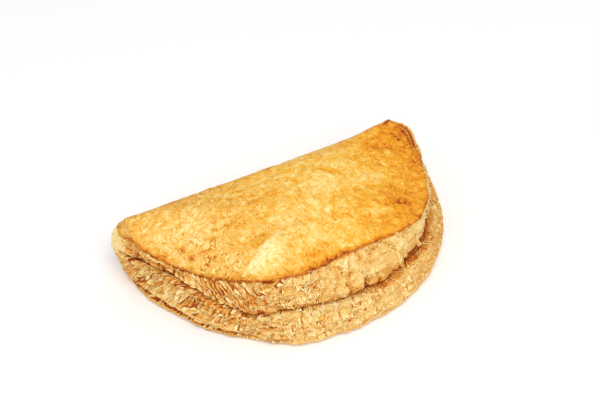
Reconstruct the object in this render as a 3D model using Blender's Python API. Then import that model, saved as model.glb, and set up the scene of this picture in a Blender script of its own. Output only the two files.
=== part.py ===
"""A half-moon cheese pie: a round of puff pastry folded once over its filling and baked.

Metres, +Z up. The pie rests on z = 0. The fold runs along X at the back (+Y), and the cut edge of
the round curves about the front (-Y) from the left tip to the right one. The cut edge has two
puffed tiers, the lower half of the round and the upper half, with the seam groove between them.
The filling is shut inside, so the whole pie is one solid. Its shape is worked out in the frame of
the round, whose centre is the origin, and is moved to the middle of its own box at the end.
"""

import math

import bmesh
import bpy
import numpy as np
from mathutils import Vector, noise

MM = 0.001

# Plan of the pie: a disc of pastry, cut off by the fold.
DISC_RADIUS = 75.5 * MM
FOLD_BEHIND = 9.0 * MM      # the fold's outermost line, behind the disc's centre
MIDDLE_AHEAD = 28.0 * MM    # the point that all sections run through, ahead of the disc's centre
SINE_FLOOR = 0.05           # keeps the fold's distance finite where a section runs along it
LEFT_CORNER = 40.0          # how sharp the fold's corners are in plan
RIGHT_CORNER = 9.0
LEFT_TIP = math.radians(153)    # where the cut edge begins and ends, seen from the middle
RIGHT_TIP = math.radians(27)
RIGHT_TRIM = 1.6 * MM       # the round is drawn in beside the fold's right end
RIGHT_TRIM_AT = math.radians(14)
RIGHT_TRIM_SPAN = math.radians(17)
LEFT_CHANGE = (0.0, 0.075)      # places between which the fold's roll becomes the cut edge
RIGHT_CHANGE = (0.975, 1.03)

# Along the cut edge, at equal steps from the left tip round the front to the right tip.
SEAM_HEIGHT = [v * MM for v in (22.5, 24.3, 15.2, 17.0, 14.9, 16.2, 17.0, 17.0, 17.0)]
RIM_HEIGHT = [v * MM for v in (30.0, 27.5, 30.0, 31.8, 32.3, 34.2, 32.5, 32.5, 34.0)]
FOOT_INSET = [v * MM for v in (2.0, 6.0, 4.8, 2.2, 3.2, 1.6, 0.8, 1.2, 2.5)]
LIP_INSET = [v * MM for v in (-1.0, 7.0, 8.0, 9.0, 10.0, 8.0, 5.2, 6.6, 5.0)]
UPPER_LEAN = [v * MM for v in (1.0, 1.5, 2.0, 3.5, 6.0, 4.5, 1.0, 2.8, 2.5)]

# Section of the cut edge from the base up to the lid. Each row's inset is a share of the foot's,
# the lip's and the lean's, and a length; its height is a share of the seam's height and of the
# upper tier's, and a length. Lengths are in millimetres.
CUT_ROWS = [
    (1.0, 0.0, 0.0, 5.0, 0.00, 0.00, 0.0),      # edge of the flat base
    (1.0, 0.0, 0.0, 1.2, 0.00, 0.00, 0.8),
    (1.0, 0.0, 0.0, 0.0, 0.00, 0.00, 3.2),      # widest line of the lower tier
    (1.0, 0.0, 0.0, 0.5, 0.45, 0.00, 0.0),
    (0.8, 0.0, 0.0, 2.2, 0.72, 0.00, 0.0),
    (0.0, 0.75, 0.0, 0.0, 1.00, 0.00, -2.4),    # ledge in front of the seam
    (0.0, 1.0, 0.0, 4.2, 1.00, 0.00, -1.2),     # bottom of the seam groove
    (0.0, 1.0, 0.0, 1.0, 1.00, 0.00, -0.2),     # underside of the lip
    (0.0, 1.0, 0.0, 0.0, 1.00, 0.00, 1.4),      # lip of the upper tier
    (0.0, 1.0, 0.35, 0.0, 1.00, 0.50, 0.0),
    (0.0, 1.0, 0.8, 0.0, 1.00, 0.85, 0.0),
    (0.0, 1.0, 1.0, 0.6, 1.00, 1.00, 0.0),      # rim of the lid
    (0.0, 1.0, 1.0, 3.0, 1.00, 1.00, 0.9),
]
GROOVE_ROW, LIP_UNDER_ROW, LIP_ROW, RIM_ROW = 6, 7, 8, 11

# The roll of the fold in as many rows: how far each stands in, and its height, in millimetres.
FOLD_ROWS = [
    (10.0, 0.0), (6.5, 0.5), (4.2, 3.0), (2.0, 7.5), (0.8, 11.5), (0.1, 14.5), (0.0, 16.0),
    (0.1, 18.0), (0.7, 21.5), (2.4, 26.0), (5.4, 31.0), (8.4, 33.6), (12.5, 35.3),
]

# The lid rises from its rim to its top; its right corner turns up.
LID_TOP = 37.6 * MM
LID_SWELL = 2.2
TIP_LIFT = 3.6 * MM
TIP_LIFT_AT = (55.0 * MM, 4.0 * MM)
TIP_LIFT_SPAN = 12.5 * MM

# Relief that shows from a step away.
BULGE = 1.1 * MM            # slow swelling of the side
BULGE_SPAN = 17.0 * MM
FOLD_BULGE = 0.4            # share of the swelling that the fold has
LEAF = 1.1 * MM             # leaves of pastry that stand out of the cut faces
LEAF_PITCH = 3.4 * MM
LEAF_WANDER = 15.0 * MM
LEAF_SWAY = 1.4             # how many leaves' thicknesses a leaf rises and falls
LEAF_LEAST = 0.4            # share of a leaf's height that is left where it dies away
CRINKLE = 0.8 * MM          # crinkled bumps of the cut faces
CRINKLE_SPAN = 5.5 * MM
PLATE = 0.8 * MM            # torn plates of the upper tier, towards the right
PLATE_SPAN = 11.0 * MM
PLATE_CRACK = 0.12          # width and depth of the cracks between plates, as shares of the plates'
PLATE_CRACK_DEPTH = 0.6
PLATE_SPREAD = 7.3          # sets neighbouring plates' heights apart
PLATES_START = (0.45, 0.55)     # places between which the plates begin, and end
PLATES_END = (0.80, 0.90)
PLATED_LEAF = 0.8           # share of the leaves' height that the plates take away
LIP_RAG = 0.8 * MM          # ragged edge of the upper tier above the seam
RIM_RAG = 0.7 * MM
RAG_SPAN = 7.0 * MM
LID_WAVE = 0.8 * MM         # slow waves and small lumps of the lid
LID_WAVE_SPAN = 26.0 * MM
LID_LUMP = 0.4 * MM
LID_LUMP_SPAN = 10.0 * MM
CREASE = 1.1 * MM           # a blunt crease that runs from the front rim up the lid
CREASE_WIDTH = 4.5 * MM
CREASE_STEPS = 25
CREASE_POINTS = [(-39.0 * MM, -53.0 * MM), (-22.0 * MM, -43.5 * MM), (-6.0 * MM, -40.0 * MM)]
FOOT_CRACK = 1.6 * MM       # the crack over the bottom leaf, near the left tip
FOOT_CRACK_HEIGHT = 3.4 * MM
FOOT_CRACK_WIDTH = 0.8 * MM
FOOT_CRACK_START = (0.02, 0.07)
FOOT_CRACK_END = (0.30, 0.38)

# Shifts that give each kind of relief its own noise.
CRINKLE_SHIFT, LIP_SHIFT, FADE_SHIFT, RIM_SHIFT = 2.0, 4.3, 5.0, 9.0

# The mesh before it is thinned, and the number of faces that the solid keeps.
COLUMNS = 224
COLUMN_CROWDING = 0.28      # columns stand closer along the cut edge than along the fold
BASE_ROWS = 3
ROWS_EACH = 4
LID_ROWS = 20
SOLID_TRIANGLES = 9400

CRUST_COLOUR = (0.80, 0.46, 0.14, 1.0)
CRUST_ROUGHNESS = 0.55


def smooth_step(low, high, value):
    """0 below low, 1 above high, and a smooth rise between them."""
    share = np.clip((value - low) / (high - low), 0.0, 1.0)
    return share * share * (3.0 - 2.0 * share)


def spline(values, place):
    """A smooth curve through rows of values at equal steps, read at places from 0 to 1."""
    values = np.asarray(values, float)
    last = len(values) - 1
    x = np.clip(np.asarray(place, float), 0.0, 1.0) * last
    k = np.minimum(x.astype(int), last - 1)
    f = x - k
    if values.ndim > 1:
        f = f[..., None]
    padded = np.concatenate([2 * values[:1] - values[1:2], values, 2 * values[-1:] - values[-2:-1]])
    a, b, c, d = padded[k], padded[k + 1], padded[k + 2], padded[k + 3]
    return b + 0.5 * f * (c - a + f * (2 * a - 5 * b + 4 * c - d + f * (3 * (b - c) + d - a)))


def each_point(function, points):
    """The number that a function gives at every point of an array of points."""
    flat = points.reshape(-1, 3)
    return np.array([function(Vector(point)) for point in flat]).reshape(points.shape[:-1])


def waves(points, span, shift=0.0):
    """Smooth noise from about -1 to 1, with swells of that span. A shift gives other swells."""
    return each_point(noise.noise, points / span + shift)


def plates(points, span):
    """Broken plates: a flat height for each cell from -1 to 1, falling into cracks between them."""

    def height(point):
        distances, centres = noise.voronoi(point)[:2]
        crack = math.exp(-(((distances[1] - distances[0]) / PLATE_CRACK) ** 2))
        return 2.0 * noise.cell(centres[0] * PLATE_SPREAD) - 1.0 - PLATE_CRACK_DEPTH * crack

    return each_point(height, points / span)


def column_angles(count):
    """Angles round the middle, closer together along the cut edge than along the fold."""
    place = np.linspace(0.0, math.tau, count, endpoint=False)
    return place + COLUMN_CROWDING * np.cos(place)


def station(angle):
    """Place along the cut edge: 0 at the left tip, 1 at the right tip, and outside that on the fold."""
    turned = np.mod(angle, math.tau)
    turned = np.where(turned < math.pi / 2, turned + math.tau, turned)
    return (turned - LEFT_TIP) / (math.tau - LEFT_TIP + RIGHT_TIP)


def cut_share(angle):
    """1 on the cut edge and 0 on the fold, with a short change at each tip."""
    place = station(angle)
    return smooth_step(*LEFT_CHANGE, place) * (1.0 - smooth_step(*RIGHT_CHANGE, place))


def outline_radius(angle, inset):
    """Distance from the middle to the pie's outline, drawn in by inset."""
    from_trim = (angle - RIGHT_TRIM_AT + math.pi) % math.tau - math.pi
    trim = RIGHT_TRIM * np.exp(-((from_trim / RIGHT_TRIM_SPAN) ** 2))
    radius = DISC_RADIUS - inset - trim
    ahead = MIDDLE_AHEAD * np.sin(angle)
    disc = ahead + np.sqrt(ahead**2 - MIDDLE_AHEAD**2 + radius**2)
    reach = FOLD_BEHIND - inset + MIDDLE_AHEAD
    sine = np.sin(angle)
    fold = np.where(sine > SINE_FLOOR, reach / np.maximum(sine, SINE_FLOOR), 1.0)
    corner = RIGHT_CORNER + (LEFT_CORNER - RIGHT_CORNER) * smooth_step(0.5, -0.5, np.cos(angle))
    return (disc**-corner + fold**-corner) ** (-1.0 / corner)


def side_rows(angle):
    """Inset and height of each row of the side, from the base up to the lid, at each angle."""
    place = np.clip(station(angle), 0.0, 1.0)
    seam, rim, foot, lip, lean = (
        spline(values, place) for values in (SEAM_HEIGHT, RIM_HEIGHT, FOOT_INSET, LIP_INSET, UPPER_LEAN)
    )
    upper = rim - seam
    along = np.stack([place * math.tau * DISC_RADIUS, 0 * place, 0 * place], axis=-1)
    lip_rag = LIP_RAG * waves(along, RAG_SPAN, shift=LIP_SHIFT)
    share = cut_share(angle)
    insets, heights = [], []
    for k, (cut, (fold_inset, fold_height)) in enumerate(zip(CUT_ROWS, FOLD_ROWS)):
        of_foot, of_lip, of_lean, more_inset, of_seam, of_upper, more_height = cut
        inset = of_foot * foot + of_lip * lip + of_lean * lean + more_inset * MM
        height = of_seam * seam + of_upper * upper + more_height * MM
        if k in (LIP_UNDER_ROW, LIP_ROW):
            inset = inset - lip_rag
            height = height + 0.5 * lip_rag
        insets.append(share * inset + (1.0 - share) * fold_inset * MM)
        heights.append(share * height + (1.0 - share) * fold_height * MM)
    return np.array(insets), np.array(heights)


def plain_form(angle):
    """Rows of points from the middle of the base round the side to the middle of the lid."""
    insets, heights = side_rows(angle)
    steps = np.linspace(0.0, 1.0, (len(insets) - 1) * ROWS_EACH + 1)
    insets, heights = spline(insets, steps), spline(heights, steps)
    radii = np.array([outline_radius(angle, inset) for inset in insets])
    base = np.linspace(0.0, 1.0, BASE_ROWS + 1)[:-1, None]
    lid = np.linspace(1.0, 0.0, LID_ROWS + 1)[1:, None]
    radii = np.concatenate([base * radii[0], radii, lid * radii[-1]])
    swell = heights[-1] + (LID_TOP - heights[-1]) * (1.0 - lid**LID_SWELL)
    heights = np.concatenate([base * heights[0], heights, swell])
    return np.stack([radii * np.cos(angle), radii * np.sin(angle) - MIDDLE_AHEAD, heights], axis=-1)


def outward(points):
    """Direction out of the pie at each of its points."""
    round_pie = np.roll(points, -1, axis=1) - np.roll(points, 1, axis=1)
    across = np.cross(round_pie, np.gradient(points, axis=0))
    return across / np.maximum(np.linalg.norm(across, axis=-1, keepdims=True), 1e-12)


def side_relief(points, angle, rows):
    """How far the side's leaves, crinkles, plates and swellings stand out of its plain form."""
    place = station(angle) + 0.0 * rows
    on_side = smooth_step(1.0, 2.0, rows) * (1.0 - smooth_step(RIM_ROW - 0.75, RIM_ROW, rows))
    out_of_groove = 1.0 - 0.9 * np.exp(-(((rows - GROOVE_ROW) / 0.75) ** 2))
    upper = smooth_step(GROOVE_ROW, LIP_UNDER_ROW, rows)
    wander = waves(points * (1.0, 1.0, 0.3), LEAF_WANDER)
    layer = points[..., 2] / LEAF_PITCH + LEAF_SWAY * wander
    leaf = LEAF * (np.abs(2.0 * (layer % 1.0) - 1.0) - 0.5)
    fading = smooth_step(-0.3, 0.4, waves(points, LEAF_WANDER, shift=FADE_SHIFT))
    leaf *= LEAF_LEAST + (1.0 - LEAF_LEAST) * fading
    plated = upper * smooth_step(*PLATES_START, place) * (1.0 - smooth_step(*PLATES_END, place))
    plate = PLATE * plates(points * (1.0, 1.0, 0.8), PLATE_SPAN)
    crinkle = CRINKLE * waves(points, CRINKLE_SPAN, shift=CRINKLE_SHIFT)
    near_left = smooth_step(*FOOT_CRACK_START, place) * (1.0 - smooth_step(*FOOT_CRACK_END, place))
    crack = np.exp(-(((points[..., 2] - FOOT_CRACK_HEIGHT) / FOOT_CRACK_WIDTH) ** 2))
    cut = leaf * (1.0 - PLATED_LEAF * plated) + plate * plated + crinkle
    cut -= FOOT_CRACK * near_left * crack
    share = cut_share(angle)
    bulge = BULGE * (FOLD_BULGE + (1.0 - FOLD_BULGE) * share) * waves(points, BULGE_SPAN)
    relief = on_side * out_of_groove * (bulge + cut * share)
    at_rim = np.exp(-(((rows - RIM_ROW) / 0.7) ** 2))
    return relief + RIM_RAG * at_rim * share * waves(points, RAG_SPAN, shift=RIM_SHIFT)


def lid_relief(points, rows):
    """How much higher the lid's waves, lumps and crease stand than its plain form."""
    flat = points * (1.0, 1.0, 0.0)
    wave = LID_WAVE * waves(flat, LID_WAVE_SPAN) + LID_LUMP * waves(flat, LID_LUMP_SPAN)
    along = np.linspace(0.0, 1.0, CREASE_STEPS)
    away = np.linalg.norm(points[..., None, :2] - spline(CREASE_POINTS, along), axis=-1)
    crease = CREASE * np.max(np.sin(math.pi * along) * np.exp(-((away / CREASE_WIDTH) ** 2)), axis=-1)
    return smooth_step(RIM_ROW, RIM_ROW + 1.5, rows) * (wave + crease)


def pie_points():
    """All rows of the pie's surface, with its relief."""
    angle = column_angles(COLUMNS)
    points = plain_form(angle)
    rows = (np.arange(len(points))[:, None] - BASE_ROWS) / ROWS_EACH + 0.0 * angle
    points = points + outward(points) * side_relief(points, angle, rows)[..., None]
    points[..., 2] += lid_relief(points, rows)
    from_tip = np.linalg.norm(points[..., :2] - np.array(TIP_LIFT_AT), axis=-1)
    points[..., 2] *= 1.0 + TIP_LIFT / LID_TOP * np.exp(-((from_tip / TIP_LIFT_SPAN) ** 2))
    return points


def centred(points):
    """The pie moved so that the middle of its box, on the base, is the origin."""
    low, high = points.reshape(-1, 3).min(axis=0), points.reshape(-1, 3).max(axis=0)
    middle = (low + high) / 2.0
    middle[2] = low[2]
    return points - middle


def clear_scene():
    for obj in list(bpy.data.objects):
        bpy.data.objects.remove(obj, do_unlink=True)


def crust_material():
    material = bpy.data.materials.new("baked_pastry")
    material.use_nodes = True
    shader = material.node_tree.nodes["Principled BSDF"]
    shader.inputs["Base Color"].default_value = CRUST_COLOUR
    shader.inputs["Roughness"].default_value = CRUST_ROUGHNESS
    shader.inputs["Metallic"].default_value = 0.0
    return material


def pastry(collection):
    """A sphere whose rows and columns of points are carried to those of the pie, and thinned."""
    points = centred(pie_points())
    last_row = len(points) - 1
    bm = bmesh.new()
    bmesh.ops.create_uvsphere(bm, u_segments=COLUMNS, v_segments=last_row, radius=1.0)
    for vertex in bm.verts:
        from_top = math.acos(max(-1.0, min(1.0, vertex.co.z))) / math.pi
        turn = math.atan2(vertex.co.y, vertex.co.x) / math.tau
        vertex.co = points[last_row - round(from_top * last_row), round(turn * COLUMNS) % COLUMNS]
    mesh = bpy.data.meshes.new("pastry")
    bm.to_mesh(mesh)
    bm.free()
    mesh.shade_smooth()
    mesh.materials.append(crust_material())
    obj = bpy.data.objects.new("pastry", mesh)
    collection.objects.link(obj)
    thin = obj.modifiers.new("thin", "DECIMATE")
    thin.ratio = SOLID_TRIANGLES / (2.0 * COLUMNS * (last_row - 1))
    thin.use_collapse_triangulate = True
    return obj


def main():
    clear_scene()
    collection = bpy.data.collections.new("cheese_pie")
    bpy.context.scene.collection.children.link(collection)
    pastry(collection)


main()
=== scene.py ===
"""The looks of a half-moon cheese pie of puff pastry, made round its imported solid.

Laid out as a Blender add-on and run as a script. One operator makes the pastry with the loose
leaves and chips of its cut edge, and one makes the stage. The pastry's form repeats the solid's:
a round of pastry, folded at the back (+Y), whose cut edge has two puffed tiers with the seam
groove between them. Everything is in metres, +Z up.
"""

import math
from types import SimpleNamespace

import bmesh
import bpy
import numpy as np
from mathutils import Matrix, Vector, noise
from mathutils.bvhtree import BVHTree


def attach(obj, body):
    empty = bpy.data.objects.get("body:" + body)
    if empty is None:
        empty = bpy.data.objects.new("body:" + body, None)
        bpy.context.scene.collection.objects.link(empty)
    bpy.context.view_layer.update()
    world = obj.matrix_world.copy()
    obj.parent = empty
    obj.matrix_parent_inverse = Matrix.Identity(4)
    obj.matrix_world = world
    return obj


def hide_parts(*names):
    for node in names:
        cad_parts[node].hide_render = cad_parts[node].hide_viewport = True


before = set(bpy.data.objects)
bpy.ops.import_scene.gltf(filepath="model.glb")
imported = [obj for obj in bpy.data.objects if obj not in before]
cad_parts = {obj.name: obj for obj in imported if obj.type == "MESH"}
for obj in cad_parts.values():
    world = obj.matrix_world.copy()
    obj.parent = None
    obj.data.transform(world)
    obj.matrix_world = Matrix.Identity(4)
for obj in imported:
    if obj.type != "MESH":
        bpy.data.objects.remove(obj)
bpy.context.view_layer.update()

bl_info = {
    "name": "Half-moon cheese pie",
    "version": (1, 0, 0),
    "blender": (4, 5, 0),
    "location": "View3D > Sidebar > Pie",
    "description": "Makes a baked half-moon cheese pie and the stage it is shown on",
    "category": "Object",
}

MM = 0.001

# Section of the cut edge from the base up to the lid, as in the solid. Each row's inset is a share
# of the foot's, the lip's and the lean's, and a length; its height is a share of the seam's height
# and of the upper tier's, and a length. Lengths are in millimetres.
CUT_ROWS = [
    (1.0, 0.0, 0.0, 5.0, 0.00, 0.00, 0.0),
    (1.0, 0.0, 0.0, 1.2, 0.00, 0.00, 0.8),
    (1.0, 0.0, 0.0, 0.0, 0.00, 0.00, 3.2),
    (1.0, 0.0, 0.0, 0.5, 0.45, 0.00, 0.0),
    (0.8, 0.0, 0.0, 2.2, 0.72, 0.00, 0.0),
    (0.0, 0.75, 0.0, 0.0, 1.00, 0.00, -2.4),
    (0.0, 1.0, 0.0, 4.2, 1.00, 0.00, -1.2),
    (0.0, 1.0, 0.0, 1.0, 1.00, 0.00, -0.2),
    (0.0, 1.0, 0.0, 0.0, 1.00, 0.00, 1.4),
    (0.0, 1.0, 0.35, 0.0, 1.00, 0.50, 0.0),
    (0.0, 1.0, 0.8, 0.0, 1.00, 0.85, 0.0),
    (0.0, 1.0, 1.0, 0.6, 1.00, 1.00, 0.0),
    (0.0, 1.0, 1.0, 3.0, 1.00, 1.00, 0.9),
]
GROOVE_ROW, LIP_UNDER_ROW, LIP_ROW, RIM_ROW = 6, 7, 8, 11

# The roll of the fold in as many rows: how far each stands in, and its height, in millimetres.
FOLD_ROWS = [
    (10.0, 0.0), (6.5, 0.5), (4.2, 3.0), (2.0, 7.5), (0.8, 11.5), (0.1, 14.5), (0.0, 16.0),
    (0.1, 18.0), (0.7, 21.5), (2.4, 26.0), (5.4, 31.0), (8.4, 33.6), (12.5, 35.3),
]

# Along the cut edge, at equal steps from the left tip round the front to the right tip.
SEAM_HEIGHT = [v * MM for v in (22.5, 24.3, 15.2, 17.0, 14.9, 16.2, 17.0, 17.0, 17.0)]
RIM_HEIGHT = [v * MM for v in (30.0, 27.5, 30.0, 31.8, 32.3, 34.2, 32.5, 32.5, 34.0)]
FOOT_INSET = [v * MM for v in (2.0, 6.0, 4.8, 2.2, 3.2, 1.6, 0.8, 1.2, 2.5)]
LIP_INSET = [v * MM for v in (-1.0, 7.0, 8.0, 9.0, 10.0, 8.0, 5.2, 6.6, 5.0)]
UPPER_LEAN = [v * MM for v in (1.0, 1.5, 2.0, 3.5, 6.0, 4.5, 1.0, 2.8, 2.5)]

# Plan of the pie, and where its cut edge begins and ends, seen from the middle of the sections.
MIDDLE_AHEAD = 28.0 * MM
LEFT_CORNER = 40.0
RIGHT_CORNER = 9.0
LEFT_TIP = math.radians(153)
RIGHT_TIP = math.radians(27)
RIGHT_TRIM = 1.6 * MM
RIGHT_TRIM_AT = math.radians(14)
RIGHT_TRIM_SPAN = math.radians(17)

# The lid rises from its rim to its top; its right corner turns up.
LID_TOP = 37.6 * MM
LID_SWELL = 2.2
TIP_LIFT = 3.6 * MM
TIP_LIFT_AT = (55.0 * MM, 4.0 * MM)
TIP_LIFT_SPAN = 12.5 * MM

# Places along the edge where the cut faces, the solid's foot crack and its broken plates start, are
# full, fade and end.
CUT_SPAN = (0.0, 0.075, 0.975, 1.03)
FOOT_CRACK_SPAN = (0.02, 0.07, 0.30, 0.38)
PLATES_SPAN = (0.45, 0.55, 0.80, 0.90)
# Relief of the solid, which the pastry repeats.
BULGE = 1.1 * MM
BULGE_SPAN = 17.0 * MM
LEAF = 1.1 * MM
LEAF_PITCH = 3.4 * MM
LEAF_WANDER = 15.0 * MM
CRINKLE = 0.8 * MM
CRINKLE_SPAN = 5.5 * MM
PLATE = 0.8 * MM
PLATE_SPAN = 11.0 * MM
LIP_RAG = 0.8 * MM
RIM_RAG = 0.7 * MM
RAG_SPAN = 7.0 * MM
LID_WAVE = 0.8 * MM
LID_WAVE_SPAN = 26.0 * MM
LID_LUMP = 0.4 * MM
LID_LUMP_SPAN = 10.0 * MM
CREASE = 1.1 * MM
CREASE_WIDTH = 4.5 * MM
CREASE_POINTS = [(-39.0 * MM, -53.0 * MM), (-22.0 * MM, -43.5 * MM), (-6.0 * MM, -40.0 * MM)]
FOOT_CRACK = 1.6 * MM
FOOT_CRACK_HEIGHT = 3.4 * MM
FOOT_CRACK_WIDTH = 0.8 * MM

# Grid of the solid before it was thinned: it places the pastry exactly where the solid is.
SOLID_COLUMNS = 224
SOLID_CROWDING = 0.28
SOLID_STEPS = 4
SOLID_LID_ROWS = 20

# Grid of the pastry: columns round it, steps between each two rows of the section, rows of the
# base and of the lid; the piece is thinned to the number of triangles given last.
COLUMNS = 720
SIDE_STEPS = (4, 5, 12, 13, 12, 8, 8, 6, 18, 15, 10, 8)
BASE_ROWS = 3
LID_ROWS = 76
LID_CROWDING = 0.85
PASTRY_TRIANGLES = 196000

# Length of the cut edge from tip to tip.
EDGE_LENGTH = 236.0 * MM

# How the shade in the cracks is found, which is painted into the cut faces' colour: how many ways
# to look from each point, how far, and how high above the pastry each look starts.
SHADE_RAYS = 14
SHADE_REACH = 6.0 * MM
SHADE_LIFT = 0.06 * MM

# Loose leaves that show: first and last place along the edge, first and last row of the section,
# how far the leaf stands out (mm), how much it droops, and how much browner it is (paler below 0).
LEAF_PATHS = [
    (0.050, 0.148, 1.35, 1.5, 0.7, 0.1, 0.04),
    (0.135, 0.26, 1.5, 1.6, 0.5, 0.1, 0.0),
    (0.075, 0.24, 2.42, 2.40, 0.5, 0.2, -0.14),
    (0.13, 0.30, 2.55, 2.5, 0.5, 0.2, -0.10),
    (0.20, 0.44, 1.9, 1.7, 0.7, 0.1, 0.0),
    (0.36, 0.62, 1.75, 1.6, 0.5, 0.1, 0.0),
    (0.05, 0.12, 7.6, 7.4, 0.7, 0.5, -0.10),
    (0.10, 0.235, 7.9, 7.5, 1.0, 0.6, -0.14),
    (0.24, 0.33, 7.5, 7.5, 0.8, 0.5, -0.12),
    (0.34, 0.41, 7.5, 7.4, 0.6, 0.5, -0.08),
    (0.42, 0.56, 7.4, 7.5, 0.6, 0.5, -0.08),
    (0.57, 0.73, 7.5, 7.5, 0.7, 0.5, -0.10),
    (0.74, 0.90, 7.5, 7.4, 0.6, 0.5, -0.08),
    (0.11, 0.17, 6.4, 6.7, 0.9, 0.2, -0.30),
    (0.13, 0.20, 5.6, 6.0, 0.8, 0.2, -0.25),
    (0.06, 0.13, 5.2, 5.4, 0.8, 0.2, -0.15),
]
# Spacing of a loose leaf's points, and how deep its root is sunk.
LEAF_STEP = 0.6 * MM
LEAF_ROOT = 0.35 * MM

# Kinds of broken pastry: first and last place along the edge, and how softly each ends.
PLEATED_PART = (0.03, 0.27, 0.03)
RAGGED_PART = (0.04, 0.13, 0.015)
SLANTED_PART = (0.12, 0.215, 0.015)
LESS_SLANTED_PART = (0.23, 0.32, 0.02)
SCALED_PART = (0.20, 0.33, 0.02)
CRINKLED_PART = (0.33, 0.49, 0.02)
PLATED_PART = (0.49, 0.80, 0.02)
TIP_SPLIT_PART = (0.925, 0.985, 0.012)

# The faces of the two tiers: first and last row of the section, and how softly each ends.
LOWER_ROWS = (1.2, 5.3, 0.5)
UPPER_ROWS = (6.9, 10.9, 0.3)

# Tones baked into the cut faces, some of them painted light and painted shade as marked: first and
# last place along the edge and how softly they end, first and last row and how softly they end, how
# far lumps shift the rows, and how much browner.
CUT_SHADES = [
    (0.74, 2.00, 0.06, 1.2, 5.3, 0.5, 0.0, 0.10),
    (0.35, 0.50, 0.05, 1.2, 5.3, 0.5, 0.0, -0.045),
    # paler as painted light, where the lip's shadow falls on the lower tier
    (0.305, 0.55, 0.02, 4.8, 5.45, 0.15, 0.0, -0.14),
    # paler as painted light on the lip's underside, where the seam's shadow falls
    (0.10, 0.135, 0.012, 7.0, 8.4, 0.3, 0.0, -0.12),
    (0.41, 0.53, 0.02, 6.9, 10.9, 0.3, 0.0, 0.06),
    # browner as painted shade in the crevice of the groove at the left
    (0.055, 0.15, 0.02, 5.2, 7.5, 0.3, 0.3, 0.10),
    (0.925, 0.985, 0.012, 8.0, 11.1, 0.3, 0.0, -0.20),
]

# Pale spots of the lower tier: place and row of the middle, and how far each reaches both ways.
PALE_SPOTS = [(0.075, 3.2, 0.012, 0.5), (0.118, 2.9, 0.012, 0.5), (0.585, 2.9, 0.022, 0.5)]

# The peak of the right tip with the notch beside it, laid out as the lid's tones are below, but
# the last value is the height in blisters.
TIP_PEAK = [
    (58.7, 31.0, 1.6, 2.6, 0.0, 5.5),
    (61.5, 29.4, 0.9, 2.0, 0.0, -2.4),
    (63.0, 28.4, 1.2, 1.6, 0.0, 2.0),
]

# The pale ridge of the lid, partly pale pastry and partly painted highlight: where it starts (mm),
# its turn, and how far it reaches to either side.
RIDGE_START = (-38.2, -17.6)
RIDGE_TURN = math.radians(28.8)
RIDGE_LEFT, RIDGE_RIGHT = 0.9, 9.0

# Loose leaves and chips: a leaf's fewest steps, its sway (rows), the spans of its sway and of its
# ragged rim, how far its outer half droops and how ragged it is, the least gap between chips, how
# far they tilt (radians), and how near points have to be to be one.
LEAF_LEAST_STEPS = 5
LEAF_SWAY = 0.22
LEAF_SWAY_SPAN = 9.0 * MM
RAG_FINE_SPAN = 1.6 * MM
LEAF_DROOP = 0.35
LEAF_RAGGEDNESS = 0.45
CHIP_GAP = 1.6 * MM
CHIP_TILT = 0.22
WELD_DISTANCE = 0.001 * MM

# Finish of the pastry: spacing of the winding cracks on crust and flakes (mm), how strong the fine
# ones are, how strong cracks and mottling are on flakes, and how fine the mottling is.
CRUST_CURL, FLAKE_CURL = 3.8, 1.4
FINE_CURL = 0.65
FLAKE_CRISPNESS = 0.3
FLAKE_MOTTLE = 0.5
MOTTLE_SCALE = 0.26 / MM
# Its roughness on cut faces and lid, its sheen, and how strong and deep the fine grain looks.
CUT_ROUGHNESS, LID_ROUGHNESS = 0.78, 0.50
PASTRY_SHEEN = 0.20
BUMP_STRENGTH = 0.7
BUMP_DISTANCE = 0.4 * MM

# The stage: the floor's half width and roughness, the sky's light, each lamp's name, place, width,
# power and colour, the picture's width and how far the camera aims from the base's middle (pixels).
FLOOR_HALF = 3.0
FLOOR_ROUGHNESS = 0.9
SKY_STRENGTH = 0.62
LIGHTS = [
    ("key", (-0.15, -0.6, 1.1), 0.9, 9.0, (1.0, 1.0, 1.0)),
    ("fill", (-0.75, -0.55, 0.42), 0.6, 0.8, (1.0, 0.97, 0.92)),
]
PICTURE_WIDTH = 600.0
AIM_PIXELS = (-5.0, 70.0)

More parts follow.
